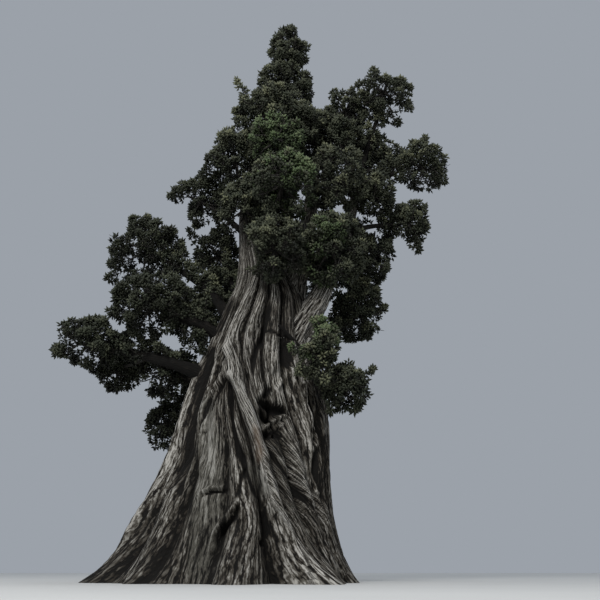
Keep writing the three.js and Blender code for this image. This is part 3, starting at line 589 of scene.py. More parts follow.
def crest_bearings(height):
    """Bearings of the crest of every rope, from the left edge round the front and then the back."""
    front = [smooth(GRAIN_HEIGHTS, bearings, height) for bearings, _ in FRONT_ROPES.values()]
    first, last = front[0] + 360, front[-1]
    back = []
    for i in range(BACK_ROPES):
        sway = BACK_SWAY_DEGREES * np.sin(height / BACK_SWAY_HEIGHT + BACK_SWAY_STEP * i)
        back.append(last + (i + 1) / (BACK_ROPES + 1) * (first - last) + sway)
    return np.array(front + back)


def grain_bearing(crests, rope):
    """The bearing of the grain, where a whole rope is 1 and its crest lies at the half."""
    place = rope - 0.5
    i = np.floor(place).astype(int)
    each = np.arange(len(rope))
    low = crests[i % ROPES, each] + 360 * np.floor(i / ROPES)
    high = crests[(i + 1) % ROPES, each] + 360 * np.floor((i + 1) / ROPES)
    return low + (place - i) * (high - low)


def rope_relief(rope, bearing, height):
    """How far the solid trunk stands out of its plain shape: flared roots, ropes of grain and hollows."""
    flare = sum(
        reach * np.exp(-height / rise)
        * np.cos(np.minimum(np.abs(turn_between(bearing, at)) / spread, 1) * math.pi / 2) ** 2
        for at, spread, reach, rise in ROOTS
    )
    hollow = sum(
        depth * np.exp(-(turn_between(bearing, at) / spread) ** 2 - ((height - middle) / rise) ** 2)
        for at, middle, spread, rise, depth in HOLLOWS
    )
    across = np.abs(2 * (rope - np.floor(rope)) - 1)
    proud = ROPE_PROUD[np.floor(rope).astype(int) % ROPES]
    rounded = proud * (1 - across ** ROPE_SHARPNESS) - 0.5
    girth = at_height(TRUNK_HALF_WIDTH, height)
    faded = np.interp(height, ROPES_FADE, [1, LEADER_RELIEF])
    return flare - hollow + 2 * ROPE_RELIEF * girth * rounded * faded, rounded


def ridge(path, half, bearing, height, girth):
    """A rounded ridge along a path of (bearing, height) on the bark: 1 on the path and 0 at half its width in
    metres and beyond. A path of more than two points runs out to a point at both ends."""
    points = [(math.radians(at), level) for at, level in path]
    steps = [math.hypot(b[0] - a[0], b[1] - a[1]) for a, b in zip(points, points[1:])]
    nearest, along, walked = np.full(len(bearing), np.inf), np.zeros(len(bearing)), 0
    for (bearing_a, height_a), (bearing_b, height_b), step in zip(path, path[1:], steps):
        ax, ay = np.radians(turn_between(bearing_a, bearing)) * girth, height_a - height
        dx, dy = np.radians(bearing_b - bearing_a) * girth, height_b - height_a
        share = np.clip(-(ax * dx + ay * dy) / (dx * dx + dy * dy), 0, 1)
        distance = np.hypot(ax + share * dx, ay + share * dy)
        along = np.where(distance < nearest, (walked + share * step) / sum(steps), along)
        nearest = np.minimum(nearest, distance)
        walked += step
    taper = np.clip(np.minimum(along, 1 - along) / RUN_OUT, 0, 1) ** RUN_OUT_CURVE if len(path) > 2 else 1
    width = half * (END_WIDTH + (1 - END_WIDTH) * taper)
    return taper * (1 - np.minimum(nearest / width, 1) ** 2) ** 2


def strongest(ridges, bearing, height, girth):
    """The strongest at each place of several ridges, each given as half width, strength and path."""
    found = np.zeros(len(bearing))
    for half, strength, path in ridges.values():
        found = np.maximum(found, strength * ridge(path, half, bearing, height, girth))
    return found


def strands_and_creases(bearing, height, girth):
    """How far strands and creases lift the bark, and how far each place is raised or sunk, from 0 to 1."""
    lift, raised, sunk = (np.zeros(len(bearing)) for _ in range(3))
    for half, size, path in STRANDS.values():
        bump = ridge(path, half, bearing, height, girth)
        lift += size * bump
        raised = np.maximum(raised, bump**2 * min(1, size / HIGH_STRAND) * min(1, SLIM_STRAND / half))
    for half, size, path in CREASES.values():
        bump = ridge(path, half, bearing, height, girth)
        lift -= size * bump
        sunk = np.maximum(sunk, bump * min(1, size / DEEP_CREASE))
    return lift, raised, sunk


def grooves(seed, x, y, period, wander):
    """Grooves between strips of bark one unit of x wide, which wander aside along the grain, part and meet: 1
    in the middle of a groove and 0 on the strips."""
    fine = FINE_WANDER * noise(seed + 1, x, FINE_WANDER_RATE * y, period)
    aside = wander * (noise(seed, 0.5 * x, y, period // 2) + fine)
    across = np.abs((x + aside + 0.5) % 1 - 0.5)
    return (1 - np.minimum(across / GROOVE_SHARE, 1)) ** GROOVE_CURVE


def slant(bearing, height):
    """How many ropes aside the strips run where they slant on the right flank."""
    left = turn_between(bearing, np.interp(height, SLANT_HEIGHTS, SLANT_LEFT))
    right = turn_between(bearing, np.interp(height, SLANT_HEIGHTS, SLANT_RIGHT))
    fallen = np.clip((SLANT_HEIGHTS[-1] - height) / SLANT_DROP, 0, 1)
    return SLANT_ROPES * fallen * fallen * (3 - 2 * fallen) * ((left > 0) & (right < 0))


def trunk_columns(settings):
    """The rope coordinate of every column of the grid, from the seam at the back all the way round."""
    ropes = []
    for rope in range(SEAM_ROPE, SEAM_ROPE + ROPES):
        front = 0 <= rope - ROPES < len(FRONT_ROPES)
        columns = settings.front_columns if front else settings.back_columns
        ropes.extend(rope + np.arange(columns) / columns)
    return np.array(ropes + [SEAM_ROPE + ROPES])


def trunk_place(settings, ropes):
    """What rolled needs to place the trunk's bark, from the rope coordinate of every column."""
    def place(around, along):
        height = TRUNK_TOP * along**RING_CROWDING
        rope = ropes[np.rint(around * (len(ropes) - 1)).astype(int)]
        bearing = grain_bearing(crest_bearings(height), rope)
        here = bearing, height, at_height(TRUNK_HALF_WIDTH, height)
        relief, rounded = rope_relief(rope, bearing, height)
        fine = np.clip(here[2] / FULL_DETAIL_GIRTH, LEAST_DETAIL, 1)
        lift, raised, sunk = strands_and_creases(*here)
        sunk *= 1 - SUNK_LESS_WHERE_RAISED * raised
        shaded = strongest(SHADED_BARK, *here) * (1 - SHADED_LESS_WHERE_RAISED * raised)
        bare = np.minimum(strongest(BARE_WOOD, *here), 1) * np.clip(1 - sunk - shaded, 0, 1)
        pale = sum(light * ridge(path, half, *here) for half, light, path in PALE_BARK.values())
        aside = slant(bearing, height)
        strand = rope - aside
        broad, narrow = (
            grooves(seed, strand * count, height * rate, ROPES * count, wander)
            for seed, count, rate, wander in (BROAD_STRIPS, NARROW_STRIPS)
        )
        seed, count, rate = LUMPS
        lumps = noise(seed, strand * count, height * rate, ROPES * count)
        between = np.clip((np.abs(2 * (rope % 1) - 1) - BETWEEN_FROM) / (1 - BETWEEN_FROM), 0, 1) ** 2
        between *= 1 - BETWEEN_LESS_WHERE_SLANTED * np.clip(aside / SLANTED_FULLY, 0, 1)
        cut = LUMP_RELIEF * lumps - BROAD_RELIEF * broad - NARROW_RELIEF * narrow - BETWEEN_RELIEF * between
        relief += lift * fine + settings.strip_depth * fine * (1 - SMOOTH_BARE_WOOD * bare) * cut
        # Painted light and shade: crests and raised strands paler; creases, grooves, the lines between ropes
        # and the foot darker.
        tone = PLAIN_TONE + CREST_TONE * rounded + LUMP_TONE * lumps + RAISED_TONE * raised + pale - sunk
        tone -= BETWEEN_SHADE * between * (1 - bare) + shaded
        tone -= FOOT_SHADE * np.clip((FOOT_SHADE_BELOW - height) / FOOT_SHADE_OVER, 0, 1)
        tone -= (BROAD_SHADE * broad + NARROW_SHADE * narrow) * (1 - PALE_BARE_WOOD * bare)
        angle = np.radians(bearing)
        level = [
            at_height(centre, height) + (at_height(half, height) + relief) * turn
            for (centre, half), turn in zip(TRUNK_PLAN, (np.cos(angle), np.sin(angle)))
        ]
        grain = np.stack([strand * settings.rope_width, height], axis=1)
        bark = {"tone": tone, "bare": bare, "rust": strongest(RUSTY_BARK, *here)}
        return np.stack([*level, height], axis=1), grain, bark
    return place


def spline(points, count):
    """Points evenly along the curve of a bough, a centripetal Catmull-Rom spline through its three points."""
    p = [np.array(point, float) * MM for point in points]
    p = [2 * p[0] - p[1], *p, 2 * p[-1] - p[-2]]
    path = []
    for a, b, c, d in zip(p, p[1:], p[2:], p[3:]):
        ab, bc, cd = (math.sqrt(np.linalg.norm(v)) for v in (b - a, c - b, d - c))
        start = ((b - a) / ab - (c - a) / (ab + bc) + (c - b) / bc) * bc
        end = ((c - b) / bc - (d - b) / (bc + cd) + (d - c) / cd) * bc
        t = np.linspace(0, 1, SPLINE_STEPS)[:, None]
        path.append(cubic(t, b, start, c, end))
    path = np.concatenate(path)
    walked = np.concatenate([[0], np.cumsum(np.linalg.norm(np.diff(path, axis=0), axis=1))])
    at = np.linspace(0, walked[-1], count)
    return np.stack([np.interp(at, walked, path[:, k]) for k in range(3)], axis=1), walked[-1]


def carried_frames(path):
    """Two directions square to a path at each of its points, carried along it without a twist."""
    tangents = unit(np.gradient(path, axis=0))
    side = np.cross(tangents[0], UP if abs(tangents[0, 2]) < STEEP else [1, 0, 0])
    sides = []
    for tangent in tangents:
        side = unit(side - tangent * side.dot(tangent))
        sides.append(side)
    sides = np.array(sides)
    return sides, np.cross(tangents, sides)


def bough_place(seed, bough, rings, shade):
    """What rolled needs to place a bough's bark, whose plain tone is its shade."""
    *points, radii = bough
    path, length = spline(points, rings + 1)
    sides, ups = carried_frames(path)
    strips = 2 * max(3, round(math.pi * radii[0] * MM / BOUGH_STRIP))

    def place(around, along):
        i = np.rint(along * rings).astype(int)
        radius = np.interp(along, [0, 1], np.array(radii) * MM)
        radius = radius * (1 + COLLAR_SWELL * np.maximum(0, 1 - along / COLLAR_SHARE))
        x, y = around * strips + BOUGH_WIND * along * length, along * length
        broad = grooves(seed, x, y * BOUGH_WANDER_RATE, strips, BOUGH_WANDER)
        lumps = noise(seed + 5, x, y * BOUGH_LUMP_RATE, strips)
        relief = (BOUGH_RELIEF + WEATHERED_RELIEF * shade) * radius * (lumps - BROAD_RELIEF * broad)
        angle = 2 * math.pi * around
        reach = (radius + relief)[:, None]
        positions = path[i] + reach * (np.cos(angle)[:, None] * sides[i] + np.sin(angle)[:, None] * ups[i])
        tone = shade + BOUGH_LUMP_TONE * lumps - (BOUGH_GROOVE_SHADE + WEATHERED_GROOVE_SHADE * shade) * broad
        grain = np.stack([around * strips * BOUGH_STRIP, y], axis=1)
        return positions, grain, {"tone": tone, "bare": 0 * tone, "rust": 0 * tone}
    return place


# Foliage by the rule of the solids, carried on to finer twigs and tufts

# Steps along a bough to find its stems, to set its plumes, and to keep foliage clear of it, and how clear.
STEM_STEPS, LIMB_STEPS, LIMB_POINTS_EACH, LIMB_MARGIN = 100, 40, 16, 0.03
# Steps in which a plume is shortened before an opening, and the shortest plume that is kept, in metres.
PLUME_TESTS, LEAST_PLUME = 10, 0.1
# Plumes inside a mass: the share of the way out where they start, and how far they lean outward.
INNER_START, INNER_LEAN = 0.12, 0.4
# Plumes straight on a bough: the shares of its length where they start and that they cover, how far they lean
# along it and turn up, and their lengths in metres.
LIMB_PLUMES_FROM, LIMB_PLUMES_OVER = 0.16, 0.8
LIMB_PLUME_LEAN, LIMB_PLUME_UPTURN, LIMB_PLUME_LENGTH = 0.6, 0.3, (0.2, 0.42)
# Tufts on a plume: the share of its length where they start, how they crowd toward its tip, how much less
# their stalks lean and reach there, how far they turn up, and how their places, axes and reaches vary.
FIRST_TUFT, TUFT_CROWDING, TIP_LESS, TUFT_UPTURN = 0.22, 0.85, 0.8, 0.25
PLACE_VARIES, AXIS_VARIES, PLUME_WIDTHS, SIDE_REACHES = 0.02, 0.15, (0.75, 1.2), (0.55, 1.1)
# Light on a tuft: deep in its plume, what the plume's tip and an upward axis add, and how it varies.
DEEP_LIGHT, OUTER_LIGHT, TOP_LIGHT, PLUME_LIGHT_VARIES, TUFT_LIGHT_VARIES = 0.3, 0.3, 0.2, 0.07, 0.12
# How far tufts may pass the solids' box and the side to a neighbour, and how low they may hang.
PAST_SOLIDS, TUFT_PAST_SIDE, LOWEST_TIP = 0.05, 0.05, 0.1
# Dents in the outline of a mass: how many round it, and up each half of it.
DENTS_ROUND, DENTS_UP = 7, 2.2
# A plume's stem is straight between these shares of its length.
STEM_BREAKS = (0, 0.5, 0.95)
# Patches of young foliage come round again after so many, and their edges are this ragged.
PATCH_PERIOD, PATCH_RAGGED = 64, 0.2
# Shoots of a tuft: the share of their length where they are widest, and how axes, sizes and lengths vary.
SHOOT_WAIST, SHOOT_AXIS_VARIES, TUFT_SIZES, SHOOT_LENGTHS = 0.55, 0.12, (0.8, 1.2), (0.75, 1.1)
# Side stalks: radius at the foot, and how far they run into their tuft beside its length.
STALK_RADIUS, STALK_INTO_TUFT = 0.006, 0.3


def space_of(mass):
    """The centre and the half sizes of a mass in metres."""
    return np.array(mass[0]) * MM, np.array(mass[1]) * MM


def sides_of(name):
    """The flat sides that part a mass from its neighbours: inside, normal . p < reach for each."""
    at, half = space_of(MASSES[name])
    size = np.cbrt(np.prod(half))
    normals, reaches = [], []
    for other, mass in MASSES.items():
        if other == name:
            continue
        other_at, other_half = space_of(mass)
        apart = np.linalg.norm(other_at - at)
        normal = (other_at - at) / apart
        share = (apart**2 + size**2 - np.cbrt(np.prod(other_half)) ** 2) / (2 * apart)
        normals.append(normal)
        reaches.append(at.dot(normal) + share - MASS_GAP / 2)
    return np.array(normals), np.array(reaches)


def reach_from(mass, planes, points, directions):
    """How far a mass's own space reaches from each point in it along its direction."""
    at, half = space_of(mass)
    p, d = (points - at) / half, directions / half
    a, b, c = (d * d).sum(-1), (p * d).sum(-1), (p * p).sum(-1) - 1
    rounded = (np.sqrt(np.maximum(b * b - a * c, 0)) - b) / a
    normals, reaches = planes
    slopes = directions @ normals.T
    room = reaches - points @ normals.T
    flat = np.where(slopes > 1e-6, room / np.maximum(slopes, 1e-6), np.inf).min(-1)
    return np.minimum(rounded, flat)


def limb_points():
    """Points along every bough, and the bough's radius at each."""
    points, radii = [], []
    for *line, ends in BOUGHS.values():
        points.append(spline(line, LIMB_POINTS_EACH)[0])
        radii.append(np.linspace(*ends, LIMB_POINTS_EACH) * MM)
    return np.concatenate(points), np.concatenate(radii)


LIMB_POINTS, LIMB_RADII = limb_points()


def clear_of_limbs(points, margin):
    """Whether each point keeps a margin to the trunk and to every bough."""
    height = points[:, 2]
    across, deep = (
        (points[:, k] - at_height(centre, height)) / (at_height(half, height) * (1 + ROPE_RELIEF) + margin)
        for k, (centre, half) in enumerate(TRUNK_PLAN)
    )
    off_trunk = (across**2 + deep**2 > 1) | (height > TRUNK_TOP + margin)
    gaps = np.linalg.norm(points[:, None] - LIMB_POINTS[None], axis=2) - LIMB_RADII
    return off_trunk & (gaps.min(1) > margin)


def golden_directions(count, lowest, start):
    """Directions spaced by the golden angle round +Z, from straight up down to a lowest rise."""
    k = np.arange(count)
    rise = 1 - (1 - lowest) * (k + 0.5) / count
    level = np.sqrt(1 - rise**2)
    turn = k * GOLDEN_ANGLE + start
    return np.stack([level * np.cos(turn), level * np.sin(turn), rise], axis=1)


def turned(directions, axes):
    """Directions given round +Z, turned so that +Z lies along each axis."""
    helper = np.where(np.abs(axes[..., 2:]) < STEEP, UP, [1.0, 0.0, 0.0])
    x = unit(np.cross(helper, axes))
    y = np.cross(axes, x)
    return directions[..., :1] * x + directions[..., 1:2] * y + directions[..., 2:] * axes


def stem_of(mass):
    """Where a mass's stem leaves its limb, and the stem's radius there."""
    carrier, share = mass[2:4]
    if isinstance(carrier, str):
        *line, ends = BOUGHS[carrier]
        radii = np.array(ends) * MM
        radius = min(radii[1] * STEM_OF_TIP, np.interp(share, [0, 1], radii) * STEM_OF_SIDE)
        return spline(line, STEM_STEPS + 1)[0][round(share * STEM_STEPS)], radius
    height = carrier * MM
    return np.array([*(at_height(centre, height) for centre, _ in TRUNK_PLAN), height]), STEM_RADIUS


def in_an_opening(points):
    """Whether each point is seen through one of the places where the crown is open."""
    seen = np.zeros(len(points), bool)
    for x, z, radius in OPENINGS:
        sight = unit(np.array([x, 0, z]) - VIEWPOINT)
        seen |= np.linalg.norm(np.cross(points - VIEWPOINT, sight), axis=1) < radius
    return seen


def kept_short(start, axis, length, settings):
    """How long a plume may be so that it ends before any opening of the crown."""
    share = np.arange(1, PLUME_TESTS + 1)[:, None] / PLUME_TESTS
    opened = in_an_opening(start + length * (axis * share + settings.plume_rise * UP * share**2))
    return length * (np.argmax(opened) / PLUME_TESTS if opened.any() else 1)


def grow(name, seed, settings):
    """The twigs of a mass as (from, to, radius at the start), and the plumes that they end in."""
    mass = MASSES[name]
    centre, half = space_of(mass)
    dense = mass[4] == "dense"
    planes = sides_of(name)
    count, share = TWIGS[mass[4]]
    forks = settings.forks if dense else settings.open_forks
    lowest = math.cos(math.radians(settings.fork_spread))
    rng = np.random.default_rng(seed)
    # The solids draw a number for the core and one for each twig's roll, so both are drawn here too.
    numbers = seeded(seed)
    next(numbers)
    start, radius = stem_of(mass)
    twigs, plumes = [(start, centre, radius)], []
    outward = unit(golden_directions(count, -1, seed) * half)
    reach = reach_from(mass, planes, centre[None], outward)
    for k in range(count):
        end = centre + outward[k] * reach[k] * share
        if not clear_of_limbs(end[None], LIMB_MARGIN)[0]:
            continue
        aside = np.cross([next(numbers) - 0.5 for _ in range(3)], outward[k])
        direction = unit(outward[k] + LEAN * aside + UPTURN * UP)
        next(numbers)
        twigs.append((centre, end, TWIG_RADIUS))
        for axis in turned(golden_directions(forks, lowest, k), direction[None]):
            bent = axis + settings.plume_rise * UP
            far = reach_from(mass, planes, end[None], unit(bent)[None])[0] / np.linalg.norm(bent)
            plumes.append((end, axis, far * rng.uniform(settings.plume_shortest, settings.plume_longest)))
    inner = unit(np.cross(outward, UP + 0.01))
    room = reach_from(mass, planes, centre[None], inner)
    for k in range(0, count, 2 if dense else 3):
        base = centre + INNER_START * outward[k] * reach[k]
        plumes.append((base, unit(inner[k] + INNER_LEAN * outward[k]), settings.inner_length * room[k]))
    plumes = [(start, axis, kept_short(start, axis, length, settings)) for start, axis, length in plumes]
    return twigs, [plume for plume in plumes if plume[2] > LEAST_PLUME]


def limb_plumes(bough, seed, settings):
    """Plumes that grow straight from a bough, from a little beyond its collar."""
    *line, ends = bough
    if ends[0] > settings.bare_above / MM:
        return []
    rng = np.random.default_rng(seed)
    path, length = spline(line, LIMB_STEPS + 1)
    count = round(length / settings.limb_spacing)
    plumes = []
    for k in range(count):
        at = round(LIMB_STEPS * (LIMB_PLUMES_FROM + LIMB_PLUMES_OVER * (k + 0.5) / count))
        tangent = unit(path[at] - path[at - 1])
        around = turned(golden_directions(LIMB_STEPS, -1, seed)[None, k % LIMB_STEPS], tangent[None])[0]
        axis = unit(around + LIMB_PLUME_LEAN * tangent + LIMB_PLUME_UPTURN * UP)
        plumes.append((path[at], axis, kept_short(path[at], axis, rng.uniform(*LIMB_PLUME_LENGTH), settings)))
    return [plume for plume in plumes if plume[2] > LEAST_PLUME]


def within_mass(tips, mass, planes, settings, seed):
    """Whether each tip lies inside its mass, whose outline is dented, and off the neighbours' side."""
    centre, half = space_of(mass)
    normals, reaches = planes
    out = (tips - centre) / half
    far = np.linalg.norm(out, axis=1)
    turn = np.arctan2(out[:, 1], out[:, 0]) / (2 * math.pi) + 0.5
    dents = noise(seed + 4, DENTS_ROUND * turn, DENTS_UP * (1 + out[:, 2] / far), DENTS_ROUND)
    inside = far < settings.overreach * (1 - settings.dents * (0.5 + 0.5 * dents))
    return inside & (tips @ normals.T < reaches + TUFT_PAST_SIDE).all(1)


def tufts_on(plumes, count, mass, planes, settings, seed):
    """Tufts on side stalks along every plume: where each stalk leaves, the tuft's root, axis and shade."""
    rng = np.random.default_rng(seed + 2)
    starts, axes, lengths = (np.array([plume[k] for plume in plumes]) for k in range(3))
    shape = (len(plumes), count)
    along = FIRST_TUFT + (1 - FIRST_TUFT) * ((np.arange(count) + 0.5) / count) ** TUFT_CROWDING
    t = np.clip(along + rng.normal(0, PLACE_VARIES, shape), 0.1, 1)[..., None]
    turn = np.arange(count) * GOLDEN_ANGLE + rng.uniform(0, 2 * math.pi, (len(plumes), 1))
    lean = np.radians(settings.side_lean) * (1 - TIP_LESS * t[..., 0])
    around = np.stack([np.sin(lean) * np.cos(turn), np.sin(lean) * np.sin(turn), np.cos(lean)], axis=2)
    bend = settings.plume_rise * UP
    stalk = starts[:, None] + lengths[:, None, None] * (axes[:, None] * t + bend * t**2)
    tangents = unit(axes[:, None] + 2 * t * bend)
    axis = unit(turned(around, tangents) + rng.normal(0, AXIS_VARIES, (*shape, 3)))
    width = settings.plume_width * rng.uniform(*PLUME_WIDTHS, (len(plumes), 1, 1))
    reach = width * (1 - TIP_LESS * t) * rng.uniform(*SIDE_REACHES, (*shape, 1))
    root = stalk + axis * reach
    axis = unit(axis + TUFT_UPTURN * UP)
    light = DEEP_LIGHT + OUTER_LIGHT * t[..., 0] + TOP_LIGHT * axis[..., 2]
    light = light + rng.normal(0, PLUME_LIGHT_VARIES, (len(plumes), 1))
    light = light + rng.normal(0, TUFT_LIGHT_VARIES, shape)
    stalk, root, axis, light = stalk.reshape(-1, 3), root.reshape(-1, 3), axis.reshape(-1, 3), light.ravel()
    tip = root + axis * settings.tuft_length
    free = clear_of_limbs(root, LIMB_MARGIN) & clear_of_limbs(tip, 0.0) & ~in_an_opening(root)
    low, high = np.array(cad_box)
    free &= ((tip > low - PAST_SOLIDS) & (tip < high + PAST_SOLIDS)).all(1) & (tip[:, 2] > LOWEST_TIP)
    if mass is not None:
        free &= within_mass(tip, mass, planes, settings, seed)
    return {"stalk": stalk[free], "root": root[free], "axis": axis[free], "light": light[free]}


def plume_stems(plumes, settings):
    """The stems of the plumes as (from, to, radius at the start), each bent in two straight pieces."""
    stems = []
    for start, axis, length in plumes:
        bend = settings.plume_rise * UP
        foot, middle, end = (start + length * (axis * t + bend * t * t) for t in STEM_BREAKS)
        stems.append((foot, middle, settings.stem_width / 2))
        stems.append((middle, end, settings.stem_width / 3))
    return stems


def prototype(build):
    """The vertices and triangles of a small shape that is made once and repeated."""
    bm = bmesh.new()
    build(bm)
    bmesh.ops.triangulate(bm, faces=bm.faces)
    bmesh.ops.recalc_face_normals(bm, faces=bm.faces)
    bm.verts.index_update()
    points = np.array([v.co for v in bm.verts])
    triangles = np.array([[v.index for v in face.verts] for face in bm.faces])
    bm.free()
    return points, triangles


def cone(bm, sides, end, start=0):
    """A cone from a height up to 1, with a radius of 1 at its foot and the radius given at its end."""
    depth = 1 - start
    place = Matrix.Translation((0, 0, start + depth / 2))
    made = bmesh.ops.create_cone(bm, cap_ends=True, segments=sides, radius1=1, radius2=end, depth=depth,
                                 matrix=place)
    return made["verts"]


def shoot_shape(bm):
    """A scaly shoot one unit long: a three-sided spindle, widest past its middle."""
    upper = cone(bm, 3, 0, SHOOT_WAIST)
    base = next(f for f in bm.faces if all(abs(v.co.z - SHOOT_WAIST) < 1e-3 for v in f.verts))
    bmesh.ops.poke(bm, faces=[base])
    root = next(v for v in bm.verts if v not in upper)
    root.co = (0, 0, 0)


def twig_shape(bm):
    """A twig one unit long, a little thinner at its end."""
    cone(bm, 4, 0.5)


def stalk_shape(bm):
    """A thin stalk one unit long that runs out to a point."""
    cone(bm, 3, 0)


def repeated(name, groups):
    """One mesh of many copies. Each group is a shape, the roots, directions, lengths and radii of its copies,
    a roll in radians, and the number of each copy's material."""
    points, faces, kinds = [], [], []
    offset = 0
    for (shape, triangles), root, direction, length, radius, roll, kind in groups:
        cosine, sine = np.cos(roll)[:, None], np.sin(roll)[:, None]
        x = shape[None, :, 0] * cosine - shape[None, :, 1] * sine
        y = shape[None, :, 0] * sine + shape[None, :, 1] * cosine
        z = shape[None, :, 2] * length[:, None]
        local = np.stack([x * radius[:, None], y * radius[:, None], z], axis=2)
        points.append((turned(local, direction[:, None, :]) + root[:, None]).reshape(-1, 3))
        steps = offset + len(shape) * np.arange(len(root))
        faces.append((triangles[None] + steps[:, None, None]).reshape(-1, 3))
        kinds.append(np.repeat(kind, len(triangles)))
        offset += len(shape) * len(root)
    points, faces, kinds = np.concatenate(points), np.concatenate(faces), np.concatenate(kinds)
    mesh = bpy.data.meshes.new(name)
    mesh.vertices.add(len(points))
    mesh.vertices.foreach_set("co", points.astype(np.float32).ravel())
    mesh.loops.add(faces.size)
    mesh.loops.foreach_set("vertex_index", faces.astype(np.int32).ravel())
    mesh.polygons.add(len(faces))
    mesh.polygons.foreach_set("loop_start", np.arange(0, faces.size, 3, dtype=np.int32))
    mesh.polygons.foreach_set("material_index", kinds.astype(np.int32))
    mesh.polygons.foreach_set("use_smooth", np.ones(len(faces), bool))
    mesh.update(calc_edges=True)
    return bpy.data.objects.new(name, mesh)


def greens_of(name, tufts, settings, seed):
    """The number of every tuft's green, from deep painted shade to painted light, and past those the greens
    of young foliage.
    """
    count, roots = len(settings.greens("green")), tufts["root"]
    far_left = np.clip((LEFT_SHADE_FROM - roots[:, 0]) / LEFT_SHADE_OVER, 0, 1)
    light = tufts["light"] - settings.left_shade * far_left + LIT_MASSES.get(name, 0)
    kind = np.clip(np.floor(light * count), 0, count - 1)
    if name in YOUNG_MASSES:
        at, half = space_of(MASSES[name])
        out = np.linalg.norm((roots - at) / half, axis=1)
        patch = noise(seed, roots[:, 0] / PATCH, (roots[:, 2] + roots[:, 1]) / PATCH, PATCH_PERIOD)
        ragged = np.random.default_rng(seed).normal(0, PATCH_RAGGED, len(roots))
        kind += count * (patch + YOUNG_MASSES[name] - out + ragged > 0)
    return kind


def shoots_of(name, tufts, settings, seed):
    """Every shoot of the tufts: one along the axis and the others leaning out round it."""
    rng = np.random.default_rng(seed + 1)
    count, each = len(tufts["root"]), settings.shoots
    spread = golden_directions(each, math.cos(math.radians(settings.shoot_spread)), 0)
    roll = rng.uniform(0, 2 * math.pi, (count, 1))
    around = np.stack([
        spread[:, 0] * np.cos(roll) - spread[:, 1] * np.sin(roll),
        spread[:, 0] * np.sin(roll) + spread[:, 1] * np.cos(roll),
        np.broadcast_to(spread[:, 2], (count, each)),
    ], axis=2)
    directions = turned(around, tufts["axis"][:, None, :])
    directions = unit(directions + rng.normal(0, SHOOT_AXIS_VARIES, directions.shape)).reshape(-1, 3)
    size = np.repeat(rng.uniform(*TUFT_SIZES, count), each)
    length = settings.tuft_length * size * rng.uniform(*SHOOT_LENGTHS, count * each)
    root = np.repeat(tufts["root"], each, axis=0)
    radius = settings.shoot_width / 2 * size
    kind = np.repeat(greens_of(name, tufts, settings, seed), each)
    return root, directions, length, radius, rng.uniform(0, 2 * math.pi, count * each), kind


def foliage_of(name, seed, bough, settings):
    """The twigs, plumes and tufts of a mass, with its loose plumes and those on the bough given, if any."""
    mass = MASSES[name]
    twigs, plumes = grow(name, seed, settings)
    count = settings.tufts if mass[4] == "dense" else settings.open_tufts
    tufts = tufts_on(plumes, count, mass, sides_of(name), settings, seed)
    loose = LOOSE_PLUMES.get(name, [])
    more = [(np.array(start), unit(np.array(axis)), length) for start, axis, length in loose]
    if bough:
        more += limb_plumes(BOUGHS[bough], seed, settings)
    if more:
        others = tufts_on(more, settings.open_tufts, None, None, settings, seed + 3)
        tufts = {kind: np.concatenate([tufts[kind], others[kind]]) for kind in tufts}
    return twigs, plumes + more, tufts


def wood_of(branch, stalk, twigs, plumes, tufts, settings):
    """The copies of a branch for the twigs and the plumes' stems, and of a stalk for every tuft."""
    starts, ends, radii = (np.array(values) for values in zip(*twigs, *plume_stems(plumes, settings)))
    feet = tufts["root"] + STALK_INTO_TUFT * settings.tuft_length * tufts["axis"]
    groups = []
    for shape, start, end, radius in (
        (branch, starts, ends, radii),
        (stalk, tufts["stalk"], feet, STALK_RADIUS),
    ):
        lines, zero = end - start, np.zeros(len(start))
        groups.append((shape, start, unit(lines), np.linalg.norm(lines, axis=1), zero + radius, zero, zero))
    return groups


# Materials

def node(tree, kind, links=None, output=0, stops=None, **settings):
    """Adds a node and gives its output. Each input, by name or number, gets a value or a link to an output,
    and a ramp gets its stops, each a position and a colour."""
    made = tree.nodes.new(kind)
    for name, value in settings.items():
        setattr(made, name, value)
    for socket, value in (links or {}).items():
        if isinstance(value, bpy.types.NodeSocket):
            tree.links.new(value, made.inputs[socket])
        else:
            made.inputs[socket].default_value = value
    if stops:
        elements = made.color_ramp.elements
        elements[0].position, elements[1].position = stops[0][0], stops[-1][0]
        elements[0].color, elements[1].color = (*stops[0][1], 1), (*stops[-1][1], 1)
        for position, colour in stops[1:-1]:
            elements.new(position).color = (*colour, 1)
    return made.outputs[output]


def blank(name, values):
    """A new material with only a Principled shader, given its constants, its node tree and the shader."""
    material = bpy.data.materials.new(name)
    material.use_nodes = True
    tree = material.node_tree
    shader = tree.nodes["Principled BSDF"]
    for socket, value in values.items():
        shader.inputs[socket].default_value = value
    return material, tree, shader


